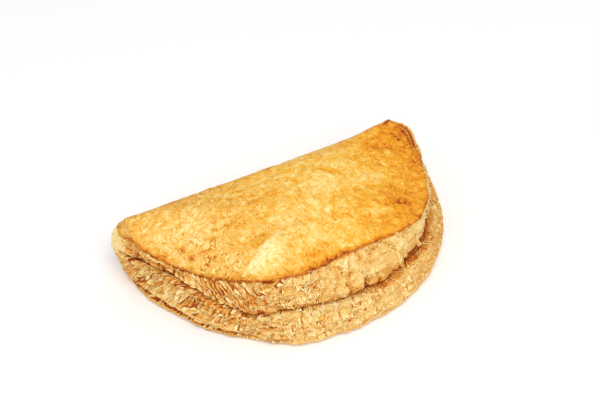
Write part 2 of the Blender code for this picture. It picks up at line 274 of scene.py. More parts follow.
# Tones baked into the lid, seen from above: middle x and y, half its length and width (all in
# millimetres), turn in degrees, and how much browner (or, below 0, paler) the middle of it is.
LID_TONES = [
    (-44.0, 15.0, 8.0, 5.0, 20.0, -0.16),
    (-60.0, 1.0, 7.0, 3.0, -40.0, 0.10),
    (-71.0, 14.0, 5.0, 4.0, 60.0, 0.10),
    (-63.0, 11.0, 2.0, 1.3, 70.0, 0.38),
    (-61.5, 8.0, 3.0, 1.1, 65.0, 0.42),
    (-51.5, 2.5, 2.0, 1.2, 30.0, 0.40),
    (-45.5, 2.0, 2.2, 1.3, -20.0, 0.30),
    (-47.0, -3.5, 1.6, 1.2, 10.0, 0.30),
    (-53.5, 7.5, 1.4, 1.0, 60.0, 0.26),
    (-41.0, 6.0, 2.2, 1.0, -30.0, 0.22),
    (-30.0, -5.5, 5.0, 2.6, 15.0, 0.16),
    (-22.0, -5.0, 4.5, 2.0, 25.0, 0.18),
    (-33.0, 17.0, 14.0, 4.0, 8.0, 0.07),
    (-28.0, 8.0, 9.0, 5.0, 0.0, 0.06),
    (-10.0, 14.0, 7.0, 2.0, 10.0, 0.14),
    (-8.5, -22.5, 6.0, 3.6, -10.0, 0.24),
    (-1.0, -20.0, 4.0, 2.4, 15.0, 0.20),
    (2.0, -26.0, 6.0, 2.2, 10.0, 0.06),
    (12.0, 12.0, 9.0, 5.0, 20.0, -0.12),
    (17.5, 18.5, 3.0, 1.0, -20.0, 0.32),
    (20.5, 15.0, 4.0, 1.6, -25.0, 0.26),
    (37.0, 5.0, 6.0, 3.4, -15.0, -0.22),
    (36.0, -12.5, 7.0, 2.2, -12.0, 0.15),
    (37.0, -19.5, 6.0, 1.6, -8.0, 0.10),
    (26.0, 5.5, 6.0, 4.0, 0.0, -0.14),
    (28.0, 13.0, 6.0, 4.0, 0.0, -0.08),
    (-9.5, -1.5, 6.0, 3.5, 0.0, -0.12),
    (8.5, -9.5, 5.0, 3.0, -15.0, 0.16),
    (47.0, 14.0, 5.0, 4.0, 0.0, -0.14),
    (26.0, -13.5, 4.5, 1.8, -10.0, -0.20),
    (45.0, 21.5, 4.0, 3.0, 0.0, 0.14),
    (55.4, 22.6, 5.0, 3.2, -40.0, 0.06),
    (56.8, 21.5, 3.4, 0.8, -65.0, 0.32),
    (53.2, 26.0, 2.0, 0.8, -60.0, 0.18),
    (53.8, 20.4, 2.0, 0.7, -20.0, 0.18),
    (59.5, 31.4, 2.4, 0.7, 20.0, 0.34),
    (56.0, 31.0, 2.6, 0.8, 10.0, 0.30),
    (-1.0, 32.5, 2.4, 1.0, 10.0, 0.45),
]


def smooth_step(low, high, value):
    """0 below low, 1 above high, and a smooth rise between them."""
    share = np.clip((value - low) / (high - low), 0.0, 1.0)
    return share * share * (3.0 - 2.0 * share)


def window(start, full, fading, end, value):
    """0 up to the start, 1 from full to fading, and 0 from the end on, with smooth changes."""
    return smooth_step(start, full, value) * (1.0 - smooth_step(fading, end, value))


def band(low, high, soft, value):
    """1 between two values, falling to 0 beyond them over twice the softness."""
    return window(low - soft, low + soft, high - soft, high + soft, value)


def bell(middle, width, value):
    """1 at the middle, falling away to both sides over the width."""
    return np.exp(-(((value - middle) / width) ** 2))


def blend(first, second, share):
    """The first value where the share is 0, and the second where it is 1."""
    return first + (second - first) * share


def spline(values, place):
    """A smooth curve through rows of values at equal steps, read at places from 0 to 1."""
    values = np.asarray(values, float)
    last = len(values) - 1
    x = np.clip(np.asarray(place, float), 0.0, 1.0) * last
    k = np.minimum(x.astype(int), last - 1)
    f = x - k
    if values.ndim > 1:
        f = f[..., None]
    before, after = 2 * values[:1] - values[1:2], 2 * values[-1:] - values[-2:-1]
    padded = np.concatenate([before, values, after])
    a, b, c, d = padded[k], padded[k + 1], padded[k + 2], padded[k + 3]
    return b + 0.5 * f * (c - a + f * (2 * a - 5 * b + 4 * c - d + f * (3 * (b - c) + d - a)))


def each_point(function, points):
    """The number that a function gives at every point of an array of points."""
    flat = points.reshape(-1, 3).tolist()
    return np.array([function(point) for point in flat]).reshape(points.shape[:-1])


def waves(points, span, shift=0.0):
    """Smooth noise from about -1 to 1, with swells of that span. A shift gives other swells."""
    return each_point(noise.noise, points / span + shift)


def three_waves(points, span, shifts):
    """Smooth noise in three directions, to bend points by."""
    return np.stack([waves(points, span, shift) for shift in shifts], axis=-1)


def plates(points, span):
    """Broken plates: a flat height for each cell from -1 to 1, falling into cracks between them."""

    def height(point):
        distances, centres = noise.voronoi(point)[:2]
        crack = math.exp(-(((distances[1] - distances[0]) / 0.12) ** 2))
        return 2.0 * noise.cell(centres[0] * 7.3) - 1.0 - 0.6 * crack

    return each_point(height, points / span)


def station(angle):
    """Place along the edge: 0 at the left tip, 1 at the right tip, and outside that the fold."""
    turned = np.mod(angle, math.tau)
    turned = np.where(turned < math.pi / 2, turned + math.tau, turned)
    return (turned - LEFT_TIP) / (math.tau - LEFT_TIP + RIGHT_TIP)


def cut_share(angle):
    """1 on the cut edge and 0 on the fold, with a short change at each tip."""
    return window(*CUT_SPAN, station(angle))


def outline_radius(shape, angle, inset):
    """Distance from the middle to the pie's outline, drawn in by inset."""
    from_trim = (angle - RIGHT_TRIM_AT + math.pi) % math.tau - math.pi
    radius = shape.disc_radius - inset - RIGHT_TRIM * bell(0.0, RIGHT_TRIM_SPAN, from_trim)
    ahead = MIDDLE_AHEAD * np.sin(angle)
    disc = ahead + np.sqrt(ahead**2 - MIDDLE_AHEAD**2 + radius**2)
    reach = shape.fold_behind - inset + MIDDLE_AHEAD
    fold = np.where(np.sin(angle) > 0.05, reach / np.maximum(np.sin(angle), 0.05), 1.0)
    corner = blend(RIGHT_CORNER, LEFT_CORNER, smooth_step(0.5, -0.5, np.cos(angle)))
    return (disc**-corner + fold**-corner) ** (-1.0 / corner)


def side_rows(shape, angle):
    """Inset and height of each row of the side, from the base up to the lid, at each angle."""
    place = np.clip(station(angle), 0.0, 1.0)
    curves = (SEAM_HEIGHT, RIM_HEIGHT, FOOT_INSET, LIP_INSET, UPPER_LEAN)
    seam, rim, foot, lip, lean = (spline(values, place) for values in curves)
    upper = rim - seam
    along = np.stack([place * math.tau * shape.disc_radius, 0 * place, 0 * place], axis=-1)
    lip_rag = LIP_RAG * waves(along, RAG_SPAN, shift=4.3)
    share = cut_share(angle)
    insets, heights = [], []
    for k, (cut, (fold_inset, fold_height)) in enumerate(zip(CUT_ROWS, FOLD_ROWS)):
        of_foot, of_lip, of_lean, more_inset, of_seam, of_upper, more_height = cut
        inset = of_foot * foot + of_lip * lip + of_lean * lean + more_inset * MM
        height = of_seam * seam + of_upper * upper + more_height * MM
        if k in (LIP_UNDER_ROW, LIP_ROW):
            inset = inset - lip_rag
            height = height + 0.5 * lip_rag
        insets.append(share * inset + (1.0 - share) * fold_inset * MM)
        heights.append(share * height + (1.0 - share) * fold_height * MM)
    return np.array(insets), np.array(heights)


def plain_form(shape, angle, steps, base_rows, lid):
    """Rows of points from the middle of the base round the side to the middle of the lid."""
    insets, heights = side_rows(shape, angle)
    insets, heights = spline(insets, steps), spline(heights, steps)
    radii = np.array([outline_radius(shape, angle, inset) for inset in insets])
    base = np.linspace(0.0, 1.0, base_rows + 1)[:-1, None]
    radii = np.concatenate([base * radii[0], radii, lid * radii[-1]])
    swell = heights[-1] + (LID_TOP - heights[-1]) * (1.0 - lid**LID_SWELL)
    heights = np.concatenate([base * heights[0], heights, swell])
    return np.stack([radii * np.cos(angle), radii * np.sin(angle) - MIDDLE_AHEAD, heights], axis=-1)


def outward(points):
    """Direction out of the pie at each of its points."""
    round_pie = np.roll(points, -1, axis=1) - np.roll(points, 1, axis=1)
    across = np.cross(round_pie, np.gradient(points, axis=0))
    return across / np.maximum(np.linalg.norm(across, axis=-1, keepdims=True), 1e-12)


def side_masks(rows):
    """Where rows of the section lie on the side, out of the seam groove, and in the upper tier."""
    on_side = window(1.0, 2.0, RIM_ROW - 0.75, RIM_ROW, rows)
    out_of_groove = 1.0 - 0.9 * bell(GROOVE_ROW, 0.75, rows)
    return on_side, out_of_groove, smooth_step(GROOVE_ROW, LIP_UNDER_ROW, rows)


def side_relief(points, angle, rows, flatter):
    """How far the side's leaves, crinkles, plates and swellings stand out of its plain form.
    Flatter is how much of the crinkles is left off the broken plates, from 0 to 1."""
    place = station(angle) + 0.0 * rows
    on_side, out_of_groove, upper = side_masks(rows)
    wander = waves(points * (1.0, 1.0, 0.3), LEAF_WANDER)
    layer = points[..., 2] / LEAF_PITCH + 1.4 * wander
    leaf = LEAF * (np.abs(2.0 * (layer % 1.0) - 1.0) - 0.5)
    leaf *= 0.4 + 0.6 * smooth_step(-0.3, 0.4, waves(points, LEAF_WANDER, shift=5.0))
    plated = upper * window(*PLATES_SPAN, place)
    plate = PLATE * plates(points * (1.0, 1.0, 0.8), PLATE_SPAN)
    crinkle = CRINKLE * waves(points, CRINKLE_SPAN, shift=2.0) * (1.0 - flatter * plated)
    crack = bell(FOOT_CRACK_HEIGHT, FOOT_CRACK_WIDTH, points[..., 2])
    crack *= window(*FOOT_CRACK_SPAN, place)
    cut = leaf * (1.0 - 0.8 * plated) + plate * plated + crinkle - FOOT_CRACK * crack
    share = cut_share(angle)
    bulge = BULGE * (0.4 + 0.6 * share) * waves(points, BULGE_SPAN)
    rag = RIM_RAG * bell(RIM_ROW, 0.7, rows) * share * waves(points, RAG_SPAN, shift=9.0)
    return on_side * out_of_groove * (bulge + cut * share) + rag


def lid_relief(points, rows):
    """How much higher the lid's waves, lumps and crease stand than its plain form."""
    flat = points * (1.0, 1.0, 0.0)
    wave = LID_WAVE * waves(flat, LID_WAVE_SPAN) + LID_LUMP * waves(flat, LID_LUMP_SPAN)
    crease = np.zeros(rows.shape)
    for along in np.linspace(0.0, 1.0, 25):
        away = np.linalg.norm(points[..., :2] - spline(CREASE_POINTS, along), axis=-1)
        crease = np.maximum(crease, np.sin(math.pi * along) * bell(0.0, CREASE_WIDTH, away))
    return smooth_step(RIM_ROW, RIM_ROW + 1.5, rows) * (wave + CREASE * crease)


def shaped(points, angle, rows, flatter=0.0):
    """The plain form with the solid's relief and its turned-up corner."""
    points = points + outward(points) * side_relief(points, angle, rows, flatter)[..., None]
    points[..., 2] += lid_relief(points, rows)
    from_tip = np.linalg.norm(points[..., :2] - np.array(TIP_LIFT_AT), axis=-1)
    points[..., 2] *= 1.0 + TIP_LIFT / LID_TOP * bell(0.0, TIP_LIFT_SPAN, from_tip)
    return points


def solid_middle(shape):
    """The middle of the solid's box, on its base, seen from the centre of the round."""
    place = np.linspace(0.0, math.tau, SOLID_COLUMNS, endpoint=False)
    angle = place + SOLID_CROWDING * np.cos(place)
    steps = np.linspace(0.0, 1.0, (len(CUT_ROWS) - 1) * SOLID_STEPS + 1)
    lid = np.linspace(1.0, 0.0, SOLID_LID_ROWS + 1)[1:, None]
    points = plain_form(shape, angle, steps, 1, lid)
    rows = np.maximum(np.arange(len(points))[:, None] - 1.0, 0.0) / SOLID_STEPS + 0.0 * angle
    points = shaped(points, angle, rows).reshape(-1, 3)
    middle = (points.min(axis=0) + points.max(axis=0)) / 2.0
    middle[2] = points[:, 2].min()
    return middle


def column_angles(shape, count):
    """Angles of the pastry's columns, evenly spaced along the cut edge and wider along the fold."""
    fine = np.linspace(0.0, math.tau, 4001)
    density = outline_radius(shape, fine, 0.0) * (0.35 + 0.65 * cut_share(fine))
    reached = np.concatenate([[0.0], np.cumsum(0.5 * (density[1:] + density[:-1]))])
    wanted = np.linspace(0.0, reached[-1], count, endpoint=False)
    return np.interp(wanted, reached, fine)


def pastry_grid(shape):
    """The pastry's plain rows of points, with each one's angle and its row in the section."""
    angle = column_angles(shape, COLUMNS)
    rows = np.concatenate([[0.0]] + [k + np.arange(1, n + 1) / n for k, n in enumerate(SIDE_STEPS)])
    lid = (np.linspace(1.0, 0.0, LID_ROWS + 1)[1:, None]) ** LID_CROWDING
    points = plain_form(shape, angle, rows / (len(CUT_ROWS) - 1), BASE_ROWS, lid)
    on_lid = len(CUT_ROWS) - 1 + (1.0 - lid[:, 0]) * SOLID_LID_ROWS / SOLID_STEPS
    rows = np.concatenate([np.full(BASE_ROWS, -1.0), rows, on_lid])
    return points, angle + 0.0 * rows[:, None], rows[:, None] + 0.0 * angle


class PieShape(bpy.types.PropertyGroup):
    """Sizes of the pastry."""

    disc_radius: bpy.props.FloatProperty(
        name="Round's radius", description="Radius of the folded round", default=75.5 * MM,
        unit="LENGTH",
    )
    fold_behind: bpy.props.FloatProperty(
        name="Fold", description="How far the fold lies behind the centre", default=9.0 * MM,
        unit="LENGTH",
    )
    curl_depth: bpy.props.FloatProperty(
        name="Curl depth", description="Height of the small curls of the cut faces",
        default=0.65 * MM, unit="LENGTH",
    )
    curl_span: bpy.props.FloatProperty(
        name="Curl span", description="Spacing of the small curls", default=2.1 * MM,
        unit="LENGTH",
    )
    leaf_pitch: bpy.props.FloatProperty(
        name="Leaf pitch", description="Spacing of the slanting leaves", default=1.9 * MM,
        unit="LENGTH",
    )
    blister_height: bpy.props.FloatProperty(
        name="Blister height", description="Height of the lid's blisters", default=0.22 * MM,
        unit="LENGTH",
    )
    leaf_thickness: bpy.props.FloatProperty(
        name="Leaf thickness", description="Thickness of a loose leaf", default=0.28 * MM,
        unit="LENGTH",
    )
    loose_leaves: bpy.props.IntProperty(
        name="Loose leaves", description="Leaf edges strewn over the cut faces", default=170
    )
    chip_size: bpy.props.FloatProperty(
        name="Chip size", description="Length of the largest flaked chips", default=2.7 * MM,
        unit="LENGTH",
    )
    chip_density: bpy.props.FloatProperty(
        name="Chip density", description="Most chips on a square metre of cut face", default=30000.0
    )


class PieStage(bpy.types.PropertyGroup):
    """Camera, light and floor."""

    azimuth: bpy.props.FloatProperty(
        name="Azimuth", description="Camera's turn about the pie", default=math.radians(-28),
        subtype="ANGLE",
    )
    elevation: bpy.props.FloatProperty(
        name="Elevation", description="Camera's height as an angle", default=math.radians(46.5),
        subtype="ANGLE",
    )
    distance: bpy.props.FloatProperty(
        name="Distance", description="From the camera to the pie", default=0.70, unit="LENGTH"
    )
    pixels_per_mm: bpy.props.FloatProperty(
        name="Scale", description="Picture's pixels for a millimetre of the pie", default=2.3
    )
    floor_colour: bpy.props.FloatVectorProperty(
        name="Floor", description="Colour of the floor", default=(1.0, 1.0, 1.0), subtype="COLOR"
    )


def srgb(red, green, blue):
    """A colour for a shader from its everyday 0 to 255 values."""

    def linear(value):
        value /= 255.0
        return value / 12.92 if value <= 0.04045 else ((value + 0.055) / 1.055) ** 2.4

    return linear(red), linear(green), linear(blue), 1.0


class Relief:
    """A part's points with what every layer of fine relief on them reads."""

    def __init__(self, shape, points, middle, angle, rows):
        self.shape = shape
        self.points = points
        self.flat = points - middle
        self.x, self.y = self.flat[..., 0] / MM, self.flat[..., 1] / MM
        self.place = station(angle)
        self.rows = rows
        self.cut = cut_share(angle)
        self.along = self.place * EDGE_LENGTH
        self.warp = three_waves(points, 5.0 * MM, (11.0, 17.0, 23.0))
        self.bent = points + 1.3 * MM * self.warp
        self.coarse = waves(points, 9.0 * MM, shift=51.0)
        self.lump = waves(self.bent, 4.2 * MM, shift=55.0)
        self.zone = self.place + 0.025 * self.coarse


def curls(relief, span, shift):
    """Thin raised loops about a span across, each with a thin groove along one side."""
    loop = waves(relief.bent, span, shift=shift)
    broken = smooth_step(-0.25, 0.15, waves(relief.points, 1.5 * span, shift=shift + 2.0))
    return broken * (bell(0.0, 0.16, loop) - 0.8 * bell(0.30, 0.12, loop))


def slanting_leaves(relief, slant, pitch, wander, shift):
    """Leaves that lean along the edge: each rises slowly and drops at once into a crack."""
    wavy = wander * waves(relief.points, 7.0 * MM, shift)
    step = ((relief.along + slant * relief.points[..., 2] + wavy) / pitch) % 1.0
    return smooth_step(0.0, 0.22, step) * (1.0 - 0.55 * step)


def level_leaves(relief, pitch, wander, shift):
    """Leaves that lie level, one on another."""
    wavy = wander * waves(relief.points * (1.0, 1.0, 0.4), 14.0 * MM, shift)
    step = ((relief.points[..., 2] + wavy) / pitch) % 1.0
    return smooth_step(0.0, 0.25, step) * (1.0 - 0.4 * step)


def scales(relief, span):
    """Small domed scales with cracks between them."""

    def height(point):
        distances = noise.voronoi(point)[0]
        return min(1.0, (distances[1] - distances[0]) / 0.35) * (1.0 - 0.5 * distances[0])

    return each_point(height, relief.bent * (1.0, 1.0, 0.8) / span)


def torn_sheets(relief, span):
    """Flat torn sheets: each one's level (-1 to 1), and how near a point is to a tear (0 to 1)."""

    def level(point):
        centres = noise.voronoi(point)[1]
        return 2.0 * noise.cell(centres[0] * 5.1) - 1.0

    def tear(point):
        distances = noise.voronoi(point)[0]
        return math.exp(-(((distances[1] - distances[0]) / 0.09) ** 2))

    fine = three_waves(relief.points, 2.2 * MM, (191.0, 197.0, 199.0))
    place = (relief.bent + 1.2 * MM * fine) * (1.0, 1.0, 0.75) / span
    return each_point(level, place), each_point(tear, place)


def cut_kinds(relief):
    """The kinds of broken pastry that the cut faces show, each as heights over all points."""
    span = relief.shape.curl_span
    pit = smooth_step(0.22, 0.45, waves(relief.bent, 1.9 * MM, shift=41.0))
    tiny = waves(relief.bent, 1.1 * MM, shift=61.0)
    sheet, tear = torn_sheets(relief, 6.5 * MM)
    return SimpleNamespace(
        pit=pit, tiny=tiny, sheet=sheet, tear=tear,
        worn=0.65 * curls(relief, span, 31.0) - 0.2 * pit + 0.3 * tiny,
        folded=0.6 * curls(relief, 1.7 * span, 35.0) + 0.5 * relief.lump + 0.3 * tiny,
        pleat=slanting_leaves(relief, -0.45, 2.3 * MM, 1.6 * MM, 71.0) - 0.6,
        slant=slanting_leaves(relief, 0.9, relief.shape.leaf_pitch, 0.9 * MM, 81.0) - 0.6,
        level=level_leaves(relief, 1.15 * MM, 0.8 * MM, 91.0) - 0.6,
        scale=scales(relief, 3.4 * MM) - 0.5,
    )


def lower_height(relief, kinds, left):
    """The lower tier: pleats at the left, curls and pits, and level leaves at the foot."""
    zone, rows = relief.zone, relief.rows
    far_right = smooth_step(0.60, 0.70, zone)
    smooth_patch = bell(0.585, 0.022, relief.place) * bell(2.9, 0.5, rows)
    curled = 0.45 + 0.55 * smooth_step(0.2, 0.3, zone) - 0.35 * far_right
    curled *= 1.0 - 0.85 * smooth_patch
    pleated = 1.3 * band(*PLEATED_PART, zone) * smooth_step(2.4, 3.2, rows)
    height = curled * kinds.worn + (0.4 * left + 0.15 * far_right) * kinds.folded
    height += pleated * kinds.pleat
    height *= 1.0 - 0.5 * smooth_step(0.45, 0.55, zone) * (1.0 - smooth_step(3.0, 4.2, rows))
    at_foot = band(*LOWER_ROWS, rows) * (1.0 - smooth_step(2.2, 3.0, rows))
    return blend(height, 1.2 * kinds.level + 0.25 * height, at_foot * (0.35 + 0.65 * left))


def upper_height(relief, kinds):
    """The upper tier: ragged, slanting, scaled and crinkled from the left, then broken plates."""
    zone = relief.zone
    smooth_patch = bell(0.342, 0.014, relief.place) * bell(8.8, 0.9, relief.rows)
    slanted = band(*SLANTED_PART, zone) + 0.35 * band(*LESS_SLANTED_PART, zone)
    crinkled = band(*CRINKLED_PART, zone) * (1.0 - 0.9 * smooth_patch)
    height = band(*RAGGED_PART, zone) * (kinds.worn + kinds.folded) + 2.0 * slanted * kinds.slant
    height += band(*SCALED_PART, zone) * (1.1 * kinds.scale + 0.5 * kinds.worn)
    height += crinkled * (0.8 * kinds.worn + 0.4 * kinds.folded)
    height += 0.4 * smooth_step(0.78, 0.82, zone) * kinds.worn
    plate = 0.12 * kinds.worn + 0.15 * kinds.folded + 0.32 * kinds.sheet - 0.5 * kinds.tear
    return height + band(*PLATED_PART, zone) * plate


def cut_tone(relief, kinds, left):
    """How brown the cut faces are before their own fine relief shades them, with painted shade in
    the seam groove, under the lip and in the tears, and painted light where the lip's shadow falls.
    """
    place, zone, rows, lump = relief.place, relief.zone, relief.rows, relief.lump
    upper, plated = band(*UPPER_ROWS, rows), band(*PLATED_PART, zone)
    tone = 0.43 + (0.07 - 0.03 * left) * relief.coarse + (0.05 + 0.03 * upper) * left
    # Painted shade: browner in the seam groove.
    tone += 0.20 * window(5.3, 5.9, 6.6, 7.15, rows)

    # Painted shadow under the lip: a band beneath it at the right, a line right under it from the
    # left middle on, and its underside at the right middle; the seam line at the left middle gets
    # painted shade too.
    to_lip = 1.0 - smooth_step(7.3, 7.7, rows)
    narrow = 0.35 * (1.0 + smooth_step(0.70, 0.80, place) - smooth_step(0.55, 0.62, place))
    lip_shadow = smooth_step(4.4 + narrow, 5.3 + narrow, rows + 0.5 * lump) * to_lip
    lip_shadow *= smooth_step(0.5, 0.58, place) * (1.0 - 0.55 * smooth_step(0.76, 0.84, place))
    lip_line_shade = smooth_step(0.22, 0.28, place) * (1.0 - 0.6 * smooth_step(0.70, 0.78, place))
    tone += 0.33 * lip_shadow + 0.44 * bell(6.9, 0.6, rows) * lip_line_shade
    tone += 0.22 * bell(7.9, 0.35, rows) * band(0.585, 0.69, 0.02, place)
    line = smooth_step(5.0, 5.3, rows + 0.3 * lump) * to_lip
    tone += 0.22 * line * band(0.24, 0.29, 0.02, place)

    # Painted shade in the deep torn groove at the left, and browner pastry on the lower tier below
    # it.
    deep_groove_shade = 0.26 * band(4.7, 7.0, 0.5, rows) * (1.0 + 0.6 * lump)
    tone += bell(0.158, 0.03, place) * (deep_groove_shade + 0.13 * band(2.6, 5.0, 0.5, rows))
    # The plates' tears get painted shade; their stains and the paler plates are the pastry's own
    # colour.
    torn = kinds.tear * smooth_step(-0.1, 0.5, relief.coarse + 0.5 * lump)
    stain = smooth_step(0.15, 0.5, waves(relief.points, 4.5 * MM, shift=101.0))
    tone += upper * plated * (0.16 * torn + 0.14 * stain - 0.15)
    tone += 0.15 * upper * band(*RAGGED_PART, zone) * smooth_step(0.0, 0.35, lump)
    for first, last, soft, low, high, row_soft, lumpy, browner in CUT_SHADES:
        shade = band(first, last, soft, place) * band(low, high, row_soft, rows + lumpy * lump)
        tone += browner * shade
    for middle, row, wide, tall in PALE_SPOTS:
        tone -= 0.26 * bell(middle, wide, place) * bell(row, tall, rows)
    return tone


def cut_relief(relief):
    """Fine relief of the cut tiers and the groove between them, in curl depths, and its tone, with
    painted shade in its hollows, cracks and split and painted highlight where it stands out.
    """
    place, rows = relief.place, relief.rows
    lower, upper = band(*LOWER_ROWS, rows), band(*UPPER_ROWS, rows)
    left = 1.0 - smooth_step(0.27, 0.36, relief.zone)
    kinds = cut_kinds(relief)
    low, high = lower_height(relief, kinds, left), upper_height(relief, kinds)
    # Where the fine relief sinks the tone is browner, and where it stands out paler: painted shade
    # in its hollows, and paler crests that are partly painted highlight.
    shown = 0.22 * (1.0 + left) * lower * low + 0.32 * upper * high
    height = relief.cut * (lower * low + upper * high)
    tone = cut_tone(relief, kinds, left) - np.where(shown < 0.0, 0.4, 0.85) * shown

    crack = bell(FOOT_CRACK_HEIGHT, 1.0 * MM, relief.points[..., 2]) * lower
    crack *= band(0.05, 0.145, 0.015, place) + 0.6 * band(0.145, 0.27, 0.015, place)
    under_rim = bell(RIM_ROW - 0.42, 0.2, rows) * band(0.06, 0.60, 0.03, place)
    wandering = relief.along + 0.9 * MM * relief.warp[..., 0]
    branch = bell(0.378 * EDGE_LENGTH, 0.45 * MM, wandering) * band(3.4, 5.5, 0.2, rows)
    end = band(-0.01, 0.046, 0.012, place) * band(5.2, 9.3, 0.4, rows)
    split = bell(11.5, 0.25, rows - 0.2 * relief.coarse) * band(*TIP_SPLIT_PART, place)
    height -= 1.6 * crack + 1.1 * under_rim + 0.9 * branch + 0.8 * end * kinds.pit + 1.4 * split
    # The foot crack, the branching crack, the split at the right tip and the pits of the pale end
    # are browner as well as cut in: painted shade in them.
    pale_end = 0.04 + 0.10 * kinds.tiny + 0.40 * kinds.pit
    return height, blend(tone + 0.62 * crack + 0.35 * branch, pale_end, end) + 0.72 * split


def marks(x, y, table):
    """The sum of a table's soft oval marks, such as the lid's tones, at points seen from above."""
    total = np.zeros(x.shape)
    for middle_x, middle_y, long, wide, degrees, amount in table:
        turn = math.radians(degrees)
        off_x, off_y = x - middle_x, y - middle_y
        along = off_x * math.cos(turn) + off_y * math.sin(turn)
        across = off_y * math.cos(turn) - off_x * math.sin(turn)
        total += amount * bell(0.0, long, along) * bell(0.0, wide, across)
    return total


def pale_lit_ridge(x, y, mottle, freckle):
    """The pale ridge near the lid's front, partly pale pastry and partly painted highlight: sharp
    on its left side, fading away to the right.
    """
    off_x, off_y = x - RIDGE_START[0], y - RIDGE_START[1]
    along = off_x * math.cos(RIDGE_TURN) + off_y * math.sin(RIDGE_TURN)
    across = off_x * math.sin(RIDGE_TURN) - off_y * math.cos(RIDGE_TURN) + 0.8 * mottle
    ridge = bell(0.0, np.where(across < 0.0, RIDGE_LEFT, RIDGE_RIGHT), across)
    return ridge * band(1.0, 20.0, 6.0, along) * (0.85 + 0.5 * mottle + 0.5 * freckle)


def lid_fine_relief(relief):
    """Blisters, streaks and the pale ridge of the lid, in blister heights, and how it browned, with
    painted highlight on the blisters and the ridge.
    """
    x, y = relief.x, relief.y
    flat = relief.points * (1.0, 1.0, 0.0)
    streak = waves(flat * (0.2, 1.0, 0.0) + 0.8 * MM * relief.warp, 1.9 * MM, shift=111.0)
    streaked = band(-62.0, 12.0, 8.0, x) * smooth_step(2.0, 14.0, y)
    blister = smooth_step(0.05, 0.45, waves(flat, 2.4 * MM, shift=121.0))
    patch = waves(flat, 13.0 * MM, shift=141.0)
    mottle = waves(flat + 0.8 * MM * relief.warp, 5.0 * MM, shift=151.0)
    freckle = waves(flat + 0.5 * MM * relief.warp, 2.2 * MM, shift=161.0)
    ridge = pale_lit_ridge(x, y, mottle, freckle)
    height = 0.8 * blister + 0.5 * curls(relief, 3.6 * MM, 131.0) + 1.2 * ridge
    height += 0.9 * streak * (0.25 + 0.75 * streaked) + marks(x, y, TIP_PEAK)

    tone = 0.39 + 0.09 * patch + 0.05 * mottle + 0.07 * freckle
    # The blisters and the ridge are paler: partly their own colour, partly painted highlight.
    tone += 0.14 * streaked * streak - 0.05 * blister - 0.36 * ridge
    tone += 0.04 * smooth_step(-5.0, -30.0, x)
    tone += 0.06 * smooth_step(20.0, 30.0, y) * band(-70.0, -5.0, 8.0, x)
    tone -= 0.11 * bell(-3.0, 11.0, x) * bell(-13.0, 7.0, y)
    tone += 0.19 * smooth_step(10.0, 44.0, x - 0.35 * y) + 0.07 * smooth_step(36.0, 58.0, x)
    ragged_x = x + 0.9 * relief.warp[..., 0] + 0.5 * freckle
    ragged_y = y + 0.9 * relief.warp[..., 1]
    return height, tone + marks(ragged_x, ragged_y, LID_TONES)


def leaf_flow(relief, plain, lid_share):
    """Where each point lies on the pastry laid out flat, in metres, for the shader's noise. On the
    cut faces it is sheared and squeezed the way the leaves lean; on the lid it follows the fold."""
    place, rows = relief.place, relief.rows
    steps = np.linalg.norm(np.diff(plain, axis=0, prepend=plain[:1]), axis=-1)
    climb = np.cumsum(steps, axis=0)
    groove = climb[np.argmin(np.abs(rows[:, 0] - GROOVE_ROW))]
    in_upper = smooth_step(GROOVE_ROW - 0.4, GROOVE_ROW + 0.4, rows)
    up = climb - groove + blend(9.0 * MM, -9.0 * MM, in_upper)
    lower_left, upper_left = band(0.0, 0.27, 0.04, place), band(0.08, 0.30, 0.04, place)
    lean = blend(-0.45 * lower_left, upper_left, in_upper)
    low_squeeze = 0.85 - 0.5 * band(0.0, 0.26, 0.04, place)
    squeeze = blend(low_squeeze, 0.8 - 0.45 * band(0.08, 0.27, 0.04, place), in_upper)
    finer = np.maximum(relief.along - 0.25 * EDGE_LENGTH, 0.0)
    grown = 1.05 + 0.3 * smooth_step(0.2, 0.3, place)
    along = 1.05 * relief.along + 0.3 * finer + grown * lean * up
    cut = np.stack([along, grown * squeeze * up, 0.0 * up], axis=-1)
    x, y, z = np.moveaxis(relief.flat, -1, 0)
    past = np.maximum(x - 10.0 * MM, 0.0)
    lid = 1.6 * np.stack([0.95 * x, 0.85 * y + 0.2 * past, z], axis=-1)
    on_cut = (1.0 - np.round(lid_share)) * (rows > 0.5)
    return blend(lid, cut, on_cut[..., None])


def curl_strength(relief, lid_share):
    """How much the fine curls show: most on the left of the cut faces, least on plates and lid."""
    place, rows = relief.place, relief.rows
    in_upper = smooth_step(GROOVE_ROW, LIP_UNDER_ROW, rows)
    right = 0.18 * smooth_step(0.30, 0.45, place) + 0.14 * smooth_step(0.52, 0.68, place)
    strength = 0.72 - right * (1.0 - in_upper)
    strength -= 0.46 * in_upper * band(0.43, 0.80, 0.03, place)
    strength -= 0.50 * band(-0.05, 0.045, 0.01, place)
    strength -= 0.45 * band(0.925, 1.05, 0.012, place) * smooth_step(10.0, 10.8, rows)
    x, y = relief.x, relief.y
    on_lid = -0.20 + 0.08 * smooth_step(-30.0, 15.0, x)
    on_lid -= 0.16 * band(-66.0, -36.0, 4.0, x) * band(-14.0, 11.0, 4.0, y)
    return blend(strength, on_lid, lid_share)


def lid_edge(place):
    """The row where the lid ends: the rim, but lower at the left tip, where the lid wraps down."""
    wrapped = 1.6 * (1.0 - smooth_step(0.03, 0.062, place))
    return RIM_ROW - wrapped + 0.8 * band(*TIP_SPLIT_PART, place)


